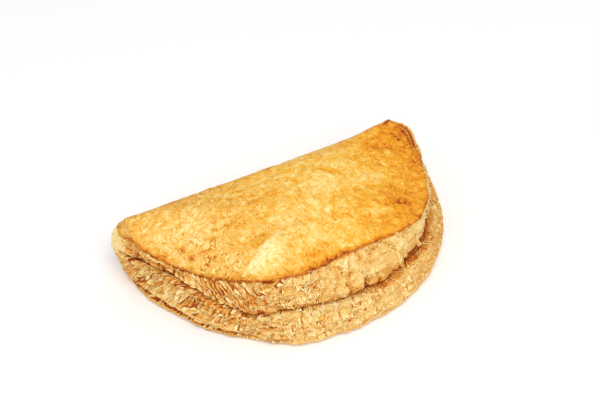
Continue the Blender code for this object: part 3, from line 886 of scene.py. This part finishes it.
def shade_share(points, chosen):
    """How much of the sky over each chosen point is hidden by pastry near it, from 0 to 1."""
    count = points.shape[1]
    here = np.arange(len(points) * count).reshape(-1, count)
    after = np.roll(here, -1, axis=1)
    quads = np.stack([here[:-1], after[:-1], after[1:], here[1:]], axis=-1).reshape(-1, 4)
    tree = BVHTree.FromPolygons(points.reshape(-1, 3).tolist(), quads.tolist())
    out = outward(points)[chosen]
    side = np.cross(out, (0.31, 0.17, 0.94))
    side /= np.linalg.norm(side, axis=-1, keepdims=True)
    third = np.cross(out, side)
    turn = np.random.default_rng(9).uniform(0.0, math.tau, len(out))
    starts = (points[chosen] + out * SHADE_LIFT).tolist()
    hidden = np.zeros(len(out))
    for k in range(SHADE_RAYS):
        off = math.sqrt((k + 0.5) / SHADE_RAYS)
        phi = (turn + k * 2.4)[:, None]
        rays = out * math.sqrt(1.0 - off * off) + off * (side * np.cos(phi) + third * np.sin(phi))
        pairs = zip(starts, rays.tolist())
        found = [tree.ray_cast(start, ray, SHADE_REACH)[3] for start, ray in pairs]
        hidden += [0.0 if far is None else 1.0 - far / SHADE_REACH for far in found]
    shade = np.zeros(points.shape[:2])
    shade[chosen] = hidden / SHADE_RAYS
    for axis in (0, 1, 0, 1):
        shade = 0.5 * shade + 0.25 * (np.roll(shade, 1, axis=axis) + np.roll(shade, -1, axis=axis))
    return shade


def rim_tone(relief):
    """The brown line at the rim: wide and soft at the middle, dark and ragged right of it."""
    place, rows = relief.place, relief.rows
    wander = waves(relief.points, 4.0 * MM, shift=171.0)
    width = 1.2 + 2.2 * band(0.19, 0.35, 0.03, place) + 1.0 * band(0.36, 0.55, 0.03, place)
    dark = 0.25 + 0.16 * band(0.37, 0.56, 0.02, place) * (1.0 + wander)
    dark -= 0.20 * smooth_step(0.72, 0.80, place) + 0.08 * (1.0 - smooth_step(0.17, 0.22, place))
    below = np.minimum(lid_edge(place), RIM_ROW)
    away = 2.5 * np.clip(rows - (below + 0.1 + 0.25 * wander), 0.0, 1.0)
    away += 13.0 * np.maximum(rows - 12.0, 0.0)
    start = smooth_step(below - 0.7, below - 0.2, rows + 0.3 * wander)
    over = np.exp(-((away / width) ** 1.5)) * start
    edge = 0.33 - 0.08 * (smooth_step(0.30, 0.38, place) + smooth_step(0.60, 0.70, place))
    shown = band(-0.01, 0.98, 0.02, place) * (0.3 + 0.7 * smooth_step(0.02, 0.06, place))
    inner = 0.28 * bell(12.08, 0.06, rows) - 0.18 * bell(11.85, 0.12, rows)
    inner *= band(0.93, 0.98, 0.012, place)
    return shown * (dark * over + edge * bell(-0.1, 0.28, rows - below)) + inner


def pastry_surface(shape):
    """The pastry's points, what its mesh carries at each, and each one's angle and row."""
    plain, angle, rows = pastry_grid(shape)
    points = shaped(plain, angle, rows, flatter=0.8)
    middle = solid_middle(shape)
    relief = Relief(shape, points, middle, angle, rows)
    place = relief.place
    cut_height, cut_brown_and_shade = cut_relief(relief)
    lid_height, lid_brown_and_highlight = lid_fine_relief(relief)
    ragged_rim = lid_edge(place) - 0.1 + 0.35 * waves(points, 3.0 * MM, shift=181.0)
    on_lid = smooth_step(ragged_rim - 0.25, ragged_rim + 0.25, rows)
    lid_share = blend(1.0, on_lid, window(-0.01, 0.015, 0.97, 1.0, place))
    lift = shape.curl_depth * cut_height * smooth_step(0.0, 2.5, rows) * relief.cut
    lift += shape.blister_height * lid_height * lid_share * smooth_step(3.0, 5.0, rows)
    rim = rim_tone(relief)
    points = points + outward(points) * lift[..., None] - middle
    points[..., 2] = np.maximum(points[..., 2], 0.0)

    shade = shade_share(points, (rows > 0.9) & (rows < RIM_ROW) & (relief.cut > 0.0))
    in_plates = band(0.47, 0.82, 0.03, place) * smooth_step(7.2, 7.8, rows)
    # Painted shade: the cut faces are browner where nearby pastry hides their sky, less on the
    # plates.
    cut_brown_and_shade = cut_brown_and_shade + (0.46 - 0.22 * in_plates) * smooth_step(0.14, 0.62, shade)
    tone = blend(cut_brown_and_shade + 0.5 * rim, np.minimum(lid_brown_and_highlight + rim, 0.90), lid_share)
    # Browner on the fold's lower half, where it lies in shade: painted shade.
    tone += 0.08 * (1.0 - relief.cut) * smooth_step(11.5, 7.0, rows)
    faces = band(2.9, 4.9, 0.2, rows) + band(7.9, 10.6, 0.2, rows)
    golden = 1.0 - 0.42 * smooth_step(0.0, -45.0, relief.x)
    uneven = 0.9 - (0.3 + 0.15 * smooth_step(0.40, 0.60, place)) * (1.0 - lid_share)
    carried = {
        "tone": np.clip(tone, 0.0, 1.0),
        "lid": lid_share * golden,
        "flow": leaf_flow(relief, plain, lid_share),
        "crisp": curl_strength(relief, lid_share),
        "flaky": band(0.04, 0.90, 0.02, place) * faces,
        "mottle": uneven,
    }
    return points, carried, angle, rows


def carry(mesh, values):
    """Stores values at a mesh's points, by name: numbers, or rows of three numbers."""
    for key, numbers in values.items():
        numbers = np.asarray(numbers, np.float32)
        kind, field = ("FLOAT_VECTOR", "vector") if numbers.ndim > 1 else ("FLOAT", "value")
        mesh.attributes.new(key, kind, "POINT").data.foreach_set(field, numbers.ravel())


def grid_mesh(name, points, carried):
    """A closed mesh of rows of points whose first and last rows are single points."""
    rows, columns = points.shape[:2]

    def listed(values):
        inner = values[1:-1].reshape(-1, *values.shape[2:])
        return np.concatenate([values[0, :1], inner, values[-1, :1]])

    corners = listed(points)
    top = len(corners) - 1
    here = 1 + np.arange((rows - 2) * columns).reshape(rows - 2, columns)
    after = np.roll(here, -1, axis=1)
    quads = np.stack([here[:-1], after[:-1], after[1:], here[1:]], axis=-1).reshape(-1, 4).tolist()
    base = [(0, b, a) for a, b in zip(here[0].tolist(), after[0].tolist())]
    lid = [(a, b, top) for a, b in zip(here[-1].tolist(), after[-1].tolist())]
    mesh = bpy.data.meshes.new(name)
    mesh.from_pydata(corners.tolist(), [], base + quads + lid)
    carry(mesh, {key: listed(values) for key, values in carried.items()})
    mesh.shade_smooth()
    return mesh


def placed(name, data):
    """A new object in the scene."""
    piece = bpy.data.objects.new(name, data)
    bpy.context.scene.collection.objects.link(piece)
    return piece


def finished_mesh(piece):
    """A plain mesh of what a piece's modifiers make of it."""
    bpy.context.view_layer.update()
    depsgraph = bpy.context.evaluated_depsgraph_get()
    return bpy.data.meshes.new_from_object(piece.evaluated_get(depsgraph))


def thin_to(piece, triangles):
    """Merges faces, flattest first, until the piece has so many triangles."""
    found = sum(len(polygon.vertices) - 2 for polygon in piece.data.polygons)
    thinner = piece.modifiers.new("thinner", "DECIMATE")
    thinner.ratio = min(1.0, triangles / found)
    thinned = finished_mesh(piece)
    piece.modifiers.clear()
    full, piece.data = piece.data, thinned
    name = full.name
    bpy.data.meshes.remove(full)
    thinned.name = name


LID_PALETTE = [
    (0.00, (255, 243, 192)),
    (0.15, (253, 228, 148)),
    (0.32, (247, 202, 104)),
    (0.50, (241, 173, 45)),
    (0.68, (228, 143, 24)),
    (0.85, (194, 99, 12)),
    (1.00, (126, 54, 6)),
]
CUT_PALETTE = [
    (0.00, (255, 234, 172)),
    (0.20, (248, 217, 146)),
    (0.40, (235, 192, 113)),
    (0.60, (221, 159, 69)),
    (0.80, (197, 110, 30)),
    (1.00, (150, 58, 10)),
]


def feed(tree, node, inputs):
    """Sets each named input of a node to a value, or links it to the socket that feeds it."""
    for key, value in inputs.items():
        if isinstance(value, bpy.types.NodeSocket):
            tree.links.new(value, node.inputs[key])
        else:
            node.inputs[key].default_value = value


def add_node(tree, kind, inputs=None, **settings):
    """Adds a node with its settings, and feeds its inputs."""
    made = tree.nodes.new(kind)
    for key, value in settings.items():
        setattr(made, key, value)
    feed(tree, made, inputs or {})
    return made


def calculate(tree, operation, first, second=0.0, third=0.0, clamp=False):
    """The result of a sum on sockets and numbers."""
    inputs = {0: first, 1: second, 2: third}
    return add_node(tree, "ShaderNodeMath", inputs, operation=operation, use_clamp=clamp).outputs[0]


def palette(tree, value, colours):
    """A colour ramp over the palette."""
    ramp = add_node(tree, "ShaderNodeValToRGB", {"Fac": value})
    elements = ramp.color_ramp.elements
    while len(elements) > 1:
        elements.remove(elements[-1])
    for k, (place, colour) in enumerate(colours):
        element = elements[0] if k == 0 else elements.new(place)
        element.position = place
        element.color = srgb(*colour)
    return ramp.outputs["Color"]


def speckle(tree, place, scale, detail=0.0, roughness=0.5, distortion=0.0):
    """Noise from 0 to 1 at a place."""
    inputs = {
        "Vector": place, "Scale": scale, "Detail": detail, "Roughness": roughness,
        "Distortion": distortion,
    }
    return add_node(tree, "ShaderNodeTexNoise", inputs).outputs["Fac"]


def line_at(tree, value, level, width):
    """1 where a value is at a level, and 0 further than a width from it."""
    away = calculate(tree, "ABSOLUTE", calculate(tree, "SUBTRACT", value, level))
    return calculate(tree, "SUBTRACT", 1.0, calculate(tree, "DIVIDE", away, width, clamp=True))


def curl_lines(tree, place, scale, distortion):
    """Short winding lines: each a pale crest (above 0), partly painted highlight, with a dark crack
    (below 0) of painted shade beside it.
    """
    loops = speckle(tree, place, scale, distortion=distortion)
    crest, crack = line_at(tree, loops, 0.46, 0.09), line_at(tree, loops, 0.56, 0.075)
    breaks = speckle(tree, place, calculate(tree, "MULTIPLY", scale, 0.6))
    breaks = calculate(tree, "MULTIPLY_ADD", breaks, 5.0, -1.75, clamp=True)
    line = calculate(tree, "MULTIPLY_ADD", crack, -0.8, crest)
    return calculate(tree, "MULTIPLY", line, breaks)


def baked_group():
    """Node group: turns a tone into baked pastry's colour, roughness and fine grain, whose winding
    curls carry painted highlight and painted shade.
    """
    tree = bpy.data.node_groups.new("baked pastry", "ShaderNodeTree")
    tree.interface.new_socket("Place", in_out="INPUT", socket_type="NodeSocketVector")
    sockets = [("Tone", 0.4), ("Lid", 0.0), ("Mottle", 0.8), ("Curl", 0.2), ("Curl Size", 1.2)]
    for name, value in sockets:
        socket = tree.interface.new_socket(name, in_out="INPUT", socket_type="NodeSocketFloat")
        socket.default_value = value
    for name, kind in (("Color", "Color"), ("Roughness", "Float"), ("Height", "Float")):
        tree.interface.new_socket(name, in_out="OUTPUT", socket_type="NodeSocket" + kind)
    given = tree.nodes.new("NodeGroupInput").outputs
    mottle = speckle(tree, given["Place"], MOTTLE_SCALE, 2.0, 0.7, 0.8)
    mottle = calculate(tree, "SUBTRACT", mottle, 0.5)
    scale = calculate(tree, "DIVIDE", 1.0 / MM, given["Curl Size"])
    curl = curl_lines(tree, given["Place"], scale, 1.0)
    fine = curl_lines(tree, given["Place"], calculate(tree, "MULTIPLY", scale, 1.8), 0.6)
    curl = calculate(tree, "MULTIPLY_ADD", fine, FINE_CURL, curl)
    curl = calculate(tree, "MULTIPLY", calculate(tree, "SUBTRACT", curl, 0.10), given["Curl"])
    tone = calculate(tree, "MULTIPLY_ADD", mottle, given["Mottle"], given["Tone"])
    # The curls' crests and cracks go into the colour: painted highlight and painted shade.
    tone = calculate(tree, "SUBTRACT", tone, curl, clamp=True)
    mixed = add_node(tree, "ShaderNodeMix", {"Factor": given["Lid"]}, data_type="RGBA")
    for key, colours in (("A", CUT_PALETTE), ("B", LID_PALETTE)):
        feed(tree, mixed, {key: palette(tree, tone, colours)})
    smoother = LID_ROUGHNESS - CUT_ROUGHNESS
    results = {
        "Color": mixed.outputs["Result"],
        "Roughness": calculate(tree, "MULTIPLY_ADD", given["Lid"], smoother, CUT_ROUGHNESS),
        "Height": calculate(tree, "SUBTRACT", curl, mottle),
    }
    feed(tree, tree.nodes.new("NodeGroupOutput"), results)
    return tree


def new_material(name):
    """A material, its tree and its shader."""
    made = bpy.data.materials.new(name)
    made.use_nodes = True
    return made, made.node_tree, made.node_tree.nodes["Principled BSDF"]


def mesh_value(tree, name, output="Fac"):
    """Reads in a material what the mesh carries by that name."""
    return add_node(tree, "ShaderNodeAttribute", attribute_name=name).outputs[output]


def pastry_material(name, group, curl_size, laid_flat):
    """Baked pastry: golden where it is lid and paler on its cut faces, by the mesh's own tones. Its
    noise follows the pastry laid out flat, or else the object's own coordinates."""
    made, tree, shader = new_material(name)
    if laid_flat:
        place, mottle = mesh_value(tree, "flow", "Vector"), mesh_value(tree, "mottle")
    else:
        place, mottle = add_node(tree, "ShaderNodeTexCoord").outputs["Object"], FLAKE_MOTTLE
    inputs = {
        "Place": place, "Mottle": mottle, "Tone": mesh_value(tree, "tone"),
        "Lid": mesh_value(tree, "lid"), "Curl": mesh_value(tree, "crisp"), "Curl Size": curl_size,
    }
    baked = add_node(tree, "ShaderNodeGroup", inputs, node_tree=group).outputs
    inputs = {"Height": baked["Height"], "Strength": BUMP_STRENGTH, "Distance": BUMP_DISTANCE}
    normal = add_node(tree, "ShaderNodeBump", inputs).outputs["Normal"]
    shader.inputs["Specular IOR Level"].default_value = PASTRY_SHEEN
    given = {"Base Color": baked["Color"], "Roughness": baked["Roughness"], "Normal": normal}
    feed(tree, shader, given)
    return made


def plain_material(name, colour, roughness):
    """A material of one colour."""
    made, tree, shader = new_material(name)
    feed(tree, shader, {"Base Color": (*colour, 1.0), "Roughness": roughness})
    return made


class Laid:
    """The finished pastry, to lay leaves on: its points, directions out and tones anywhere."""

    def __init__(self, points, tone, angle, rows):
        place = station(angle[0])
        start = int(np.argmin(place))
        self.places = np.roll(place, -start)
        self.rows = rows[:, 0]
        self.points = np.roll(points, -start, axis=1)
        self.out = outward(self.points)
        self.tone = np.roll(tone, -start, axis=1)

    def read(self, values, place, row):
        """Reads rows of values at places along the edge and rows of the section."""
        x = np.interp(place, self.places, np.arange(len(self.places)))
        y = np.interp(row, self.rows, np.arange(len(self.rows)))
        i = np.minimum(x.astype(int), len(self.places) - 2)
        j = np.minimum(y.astype(int), len(self.rows) - 2)
        x, y = x - i, y - j
        if values.ndim > 2:
            x, y = x[:, None], y[:, None]
        low = blend(values[j, i], values[j, i + 1], x)
        return blend(low, blend(values[j + 1, i], values[j + 1, i + 1], x), y)


def strewn_leaves(count):
    """Paths of short leaf edges over the cut faces, in LEAF_PATHS's own terms."""
    rng = np.random.default_rng(5)
    paths = []
    for _ in range(count):
        place = rng.uniform(0.03, 0.97) ** 1.4
        in_upper = rng.uniform() < 0.45
        row = rng.uniform(7.9, 10.7) if in_upper else rng.uniform(2.0, 4.8)
        length = rng.uniform(2.5, 8.0) * MM / EDGE_LENGTH
        climb = rng.uniform(-0.35, 0.35)
        if in_upper and 0.11 < place < 0.33:
            length, climb = 0.5 * length, -rng.uniform(0.9, 1.7)
        elif not in_upper and place < 0.27:
            length, climb = 0.55 * length, rng.uniform(0.3, 1.0)
        reach = rng.uniform(0.3, 0.6) * (1.0 if in_upper or place < 0.45 else 0.5)
        if place < 0.33:
            reach *= 1.7
        tone = rng.uniform(-0.14, 0.08)
        paths.append((place, place + length, row, row + climb, reach, 0.25, tone))
    return paths


def leaf_roots(shape, laid):
    """The roots of all loose leaves: one mesh of bare edges that carries what each leaf needs."""
    corners, edges = [], []
    values = {"out": [], "reach": [], "tone": [], "lid": [], "crisp": []}
    paths = LEAF_PATHS + strewn_leaves(shape.loose_leaves)
    for first, last, low, high, reach, droop, browner in paths:
        count = max(LEAF_LEAST_STEPS, int((last - first) * EDGE_LENGTH / LEAF_STEP))
        along = np.linspace(0.0, 1.0, count)
        place = blend(first, last, along)
        swaying = (place * EDGE_LENGTH / LEAF_SWAY_SPAN, 0 * along + low * 3.7, 0 * along)
        sway = LEAF_SWAY * waves(np.stack(swaying, -1), 1.0)
        row = blend(low, high, along) + sway * np.sin(math.pi * along)
        root, out = laid.read(laid.points, place, row), laid.read(laid.out, place, row)
        start = len(corners)
        corners.extend((root - out * LEAF_ROOT).tolist())
        edges.extend((start + k, start + k + 1) for k in range(count - 1))
        out = out - np.array((0.0, 0.0, droop))
        out /= np.linalg.norm(out, axis=-1, keepdims=True)
        taper = np.sin(math.pi * np.clip(along, 0.02, 0.98)) ** 0.6
        values["out"].extend(out.tolist())
        values["reach"].extend(LEAF_ROOT + reach * MM * taper)
        values["tone"].extend(laid.read(laid.tone, place, row) + browner)
        values["lid"].extend([0.0] * count)
        values["crisp"].extend([FLAKE_CRISPNESS] * count)
    mesh = bpy.data.meshes.new("leaf roots")
    mesh.from_pydata(corners, edges, [])
    carry(mesh, values)
    return mesh


def geometry_tree(name, sizes):
    """An empty tree for a modifier: its start, its end, and its inputs for the sizes named."""
    tree = bpy.data.node_groups.new(name, "GeometryNodeTree")
    tree.is_modifier = True
    sockets = tree.interface
    sockets.new_socket("Geometry", in_out="INPUT", socket_type="NodeSocketGeometry")
    for size in sizes:
        sockets.new_socket(size, in_out="INPUT", socket_type="NodeSocketFloat")
    sockets.new_socket("Geometry", in_out="OUTPUT", socket_type="NodeSocketGeometry")
    return tree, tree.nodes.new("NodeGroupInput").outputs, tree.nodes.new("NodeGroupOutput")


def named(tree, name, kind="FLOAT"):
    """Reads a mesh's own attribute in a geometry tree."""
    kept = add_node(tree, "GeometryNodeInputNamedAttribute", {"Name": name}, data_type=kind)
    return kept.outputs["Attribute"]


def thickened(tree, sheet, thickness):
    """Gives a sheet its thickness and closes it: the faces move out, and turned copies stay."""
    inputs = {"Mesh": sheet, "Offset Scale": thickness, "Individual": False}
    raised = add_node(tree, "GeometryNodeExtrudeMesh", inputs)
    turned = add_node(tree, "GeometryNodeFlipFaces", {"Mesh": sheet})
    joined = tree.nodes.new("GeometryNodeJoinGeometry")
    for part in (raised, turned):
        tree.links.new(part.outputs["Mesh"], joined.inputs[0])
    inputs = {"Geometry": joined.outputs[0], "Distance": WELD_DISTANCE}
    return add_node(tree, "GeometryNodeMergeByDistance", inputs).outputs["Geometry"]


def vector_times(tree, vector, scale):
    """A vector made longer or shorter."""
    inputs = {0: vector, "Scale": scale}
    return add_node(tree, "ShaderNodeVectorMath", inputs, operation="SCALE").outputs[0]


def ragged(tree, span, seed):
    """Noise from about -1 to 1 over the geometry."""
    place = tree.nodes.new("GeometryNodeInputPosition").outputs[0]
    inputs = {"Vector": place, "W": seed, "Scale": 1.0 / span, "Detail": 1.0}
    found = add_node(tree, "ShaderNodeTexNoise", inputs, noise_dimensions="4D").outputs["Fac"]
    return calculate(tree, "MULTIPLY_ADD", found, 4.0, -2.0)


def finish_tree(tree, geometry, material, end):
    """Ends a tree as every tree here ends: real faces, flat shaded, with their material."""
    real = add_node(tree, "GeometryNodeRealizeInstances", {"Geometry": geometry}).outputs[0]
    inputs = {0: real, "Shade Smooth": False}
    flat = add_node(tree, "GeometryNodeSetShadeSmooth", inputs).outputs[0]
    inputs = {"Geometry": flat, "Material": material}
    feed(tree, end, {"Geometry": add_node(tree, "GeometryNodeSetMaterial", inputs).outputs[0]})
    return tree


def leaf_tree(material):
    """Raises a thin ragged leaf from each path of roots, drooping a little at its edge."""
    tree, given, end = geometry_tree("loose leaves", ("Thickness", "Raggedness"))
    rag = ragged(tree, RAG_FINE_SPAN, 1.0)
    rag = calculate(tree, "MULTIPLY_ADD", rag, given["Raggedness"], 1.0)
    half = calculate(tree, "MULTIPLY", calculate(tree, "MULTIPLY", named(tree, "reach"), rag), 0.5)
    out = named(tree, "out", "FLOAT_VECTOR")
    inputs = {0: out, 1: (0.0, 0.0, -LEAF_DROOP)}
    drooped = add_node(tree, "ShaderNodeVectorMath", inputs, operation="ADD").outputs[0]
    inputs = {"Mesh": given["Geometry"], "Offset": vector_times(tree, out, half)}
    near = add_node(tree, "GeometryNodeExtrudeMesh", inputs, mode="EDGES").outputs
    inputs = {
        "Mesh": near["Mesh"], "Selection": near["Top"], "Offset": vector_times(tree, drooped, half),
    }
    far = add_node(tree, "GeometryNodeExtrudeMesh", inputs, mode="EDGES").outputs["Mesh"]
    return finish_tree(tree, thickened(tree, far, given["Thickness"]), material, end)


def random_value(tree, kind, inputs):
    """A random number or vector for each point, between two bounds."""
    made = add_node(tree, "FunctionNodeRandomValue", inputs, data_type=kind)
    return made.outputs[0 if kind == "FLOAT_VECTOR" else 1]


def chip_tree(material):
    """Strews small bent chips over the cut faces, each half sunk in the pastry."""
    tree, given, end = geometry_tree("flaked chips", ("Thickness", "Size", "Density"))
    inputs = {
        "Mesh": given["Geometry"], "Distance Min": CHIP_GAP, "Density Max": given["Density"],
        "Density Factor": named(tree, "flaky"), "Seed": 3,
    }
    kind = "GeometryNodeDistributePointsOnFaces"
    spread = add_node(tree, kind, inputs, distribute_method="POISSON").outputs
    jitter = random_value(tree, "FLOAT", {2: -0.10, 3: 0.06, "Seed": 4})
    tone = calculate(tree, "ADD", named(tree, "tone"), jitter)
    inputs = {"Geometry": spread["Points"], "Name": "tone", "Value": tone}
    kind = "GeometryNodeStoreNamedAttribute"
    toned = add_node(tree, kind, inputs, data_type="FLOAT", domain="POINT").outputs["Geometry"]

    inputs = {"Size X": 1.0, "Size Y": 0.55, "Vertices X": 4, "Vertices Y": 3}
    flat = add_node(tree, "GeometryNodeMeshGrid", inputs).outputs["Mesh"]
    place = tree.nodes.new("GeometryNodeInputPosition").outputs[0]
    x = add_node(tree, "ShaderNodeSeparateXYZ", {0: place}).outputs["X"]
    lift = calculate(tree, "MULTIPLY_ADD", calculate(tree, "MULTIPLY", x, x), -0.4, 0.02)
    lift = add_node(tree, "ShaderNodeCombineXYZ", {"Z": lift}).outputs[0]
    inputs = {"Geometry": flat, "Offset": lift}
    bent = add_node(tree, "GeometryNodeSetPosition", inputs).outputs["Geometry"]
    chip = thickened(tree, bent, calculate(tree, "DIVIDE", given["Thickness"], given["Size"]))

    low, high = (-CHIP_TILT, -CHIP_TILT, -math.pi), (CHIP_TILT, CHIP_TILT, math.pi)
    turn = random_value(tree, "FLOAT_VECTOR", {0: low, 1: high, "Seed": 5})
    turn = add_node(tree, "FunctionNodeEulerToRotation", {0: turn}).outputs[0]
    inputs = {"Rotation": spread["Rotation"], "Rotate By": turn}
    turned = add_node(tree, "FunctionNodeRotateRotation", inputs, rotation_space="LOCAL").outputs[0]
    share = random_value(tree, "FLOAT", {2: 0.45, 3: 1.0, "Seed": 6})
    inputs = {
        "Points": toned, "Instance": chip, "Rotation": turned,
        "Scale": calculate(tree, "MULTIPLY", share, given["Size"]),
    }
    strewn = add_node(tree, "GeometryNodeInstanceOnPoints", inputs).outputs["Instances"]
    return finish_tree(tree, strewn, material, end)


def grown(name, start, tree, sizes):
    """A piece: the plain mesh that a tree makes of the start with those sizes."""
    grower = placed("grower", start)
    modifier = grower.modifiers.new("grower", "NODES")
    modifier.node_group = tree
    for item in tree.interface.items_tree:
        if item.in_out == "INPUT" and item.name in sizes:
            modifier[item.identifier] = sizes[item.name]
    mesh = finished_mesh(grower)
    bpy.data.objects.remove(grower)
    bpy.data.meshes.remove(start)
    mesh.name = name
    return placed(name, mesh)


class PIE_OT_pastry(bpy.types.Operator):
    """Makes the baked pastry and the loose leaves and chips of its cut edge"""

    bl_idname = "pie.make_pastry"
    bl_label = "Pastry"

    def execute(self, context):
        shape = context.scene.pie_shape
        points, carried, angle, rows = pastry_surface(shape)
        mesh = grid_mesh("pastry_crust", points, carried)
        group = baked_group()
        mesh.materials.append(pastry_material("baked crust", group, CRUST_CURL, True))
        crust = placed("pastry_crust", mesh)
        thin_to(crust, PASTRY_TRIANGLES)
        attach(crust, "root")
        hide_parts("pastry")

        loose = pastry_material("loose flakes", group, FLAKE_CURL, False)
        laid = Laid(points, carried["tone"], angle, rows)
        sizes = {"Thickness": shape.leaf_thickness, "Raggedness": LEAF_RAGGEDNESS}
        leaves = grown("pastry_leaves", leaf_roots(shape, laid), leaf_tree(loose), sizes)
        sizes = {
            "Thickness": shape.leaf_thickness, "Size": shape.chip_size,
            "Density": shape.chip_density,
        }
        chips = grown("pastry_chips", crust.data.copy(), chip_tree(loose), sizes)
        for piece in (leaves, chips):
            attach(piece, "root")
        return {"FINISHED"}


def camera_axes(stage):
    """Unit directions from the pie to the camera, and to the right and up in its picture."""
    turn, rise = stage.azimuth, stage.elevation
    flat = math.cos(rise)
    back = Vector((math.sin(turn) * flat, -math.cos(turn) * flat, math.sin(rise)))
    right = Vector((math.cos(turn), math.sin(turn), 0.0))
    return back, right, back.cross(right)


def disk_light(name, place, size, energy, colour):
    """A round lamp at a place, turned towards the pie."""
    data = bpy.data.lights.new(name, "AREA")
    data.shape = "DISK"
    data.size, data.energy, data.color = size, energy, colour
    lamp = placed(name, data)
    lamp.location = place
    lamp.rotation_euler = lamp.location.to_track_quat("Z", "Y").to_euler()


class PIE_OT_stage(bpy.types.Operator):
    """Makes the floor, the lights and the camera"""

    bl_idname = "pie.make_stage"
    bl_label = "Stage"

    def execute(self, context):
        stage, scene = context.scene.pie_stage, context.scene
        scene.view_settings.view_transform = "Standard"
        mesh = bpy.data.meshes.new("floor")
        bm = bmesh.new()
        bmesh.ops.create_grid(bm, x_segments=1, y_segments=1, size=FLOOR_HALF)
        bm.to_mesh(mesh)
        bm.free()
        mesh.materials.append(plain_material("floor", stage.floor_colour, FLOOR_ROUGHNESS))
        floor = placed("floor", mesh)

        scene.world = bpy.data.worlds.new("studio")
        scene.world.use_nodes = True
        sky = scene.world.node_tree.nodes["Background"]
        feed(scene.world.node_tree, sky, {"Color": (1.0, 1.0, 1.0, 1.0), "Strength": SKY_STRENGTH})
        for light in LIGHTS:
            disk_light(*light)

        back, right, up = camera_axes(stage)
        data = bpy.data.cameras.new("camera")
        wide = stage.pixels_per_mm * stage.distance / MM / PICTURE_WIDTH
        data.lens = wide * data.sensor_width
        data.clip_start = 0.01
        camera = placed("camera", data)
        aim_right, aim_up = (pixels / stage.pixels_per_mm * MM for pixels in AIM_PIXELS)
        camera.location = back * stage.distance
        looking = back * stage.distance - (right * aim_right + up * aim_up)
        camera.rotation_euler = looking.to_track_quat("Z", "Y").to_euler()
        scene.camera = camera
        return {"FINISHED"}


class PIE_PT_panel(bpy.types.Panel):
    """Lists what makes the pie"""

    bl_idname = "PIE_PT_panel"
    bl_label = "Cheese pie"
    bl_space_type = "VIEW_3D"
    bl_region_type = "UI"
    bl_category = "Pie"

    def draw(self, context):
        for group in (context.scene.pie_shape, context.scene.pie_stage):
            box = self.layout.box()
            for name in group.__annotations__:
                box.prop(group, name)
        for operator in (PIE_OT_pastry, PIE_OT_stage):
            self.layout.operator(operator.bl_idname)


CLASSES = (PieShape, PieStage, PIE_OT_pastry, PIE_OT_stage, PIE_PT_panel)


def register():
    for cls in CLASSES:
        bpy.utils.register_class(cls)
    bpy.types.Scene.pie_shape = bpy.props.PointerProperty(type=PieShape)
    bpy.types.Scene.pie_stage = bpy.props.PointerProperty(type=PieStage)


def unregister():
    del bpy.types.Scene.pie_shape
    del bpy.types.Scene.pie_stage
    for cls in reversed(CLASSES):
        bpy.utils.unregister_class(cls)


def main():
    register()
    bpy.ops.pie.make_pastry()
    bpy.ops.pie.make_stage()


if __name__ == "__main__":
    main()
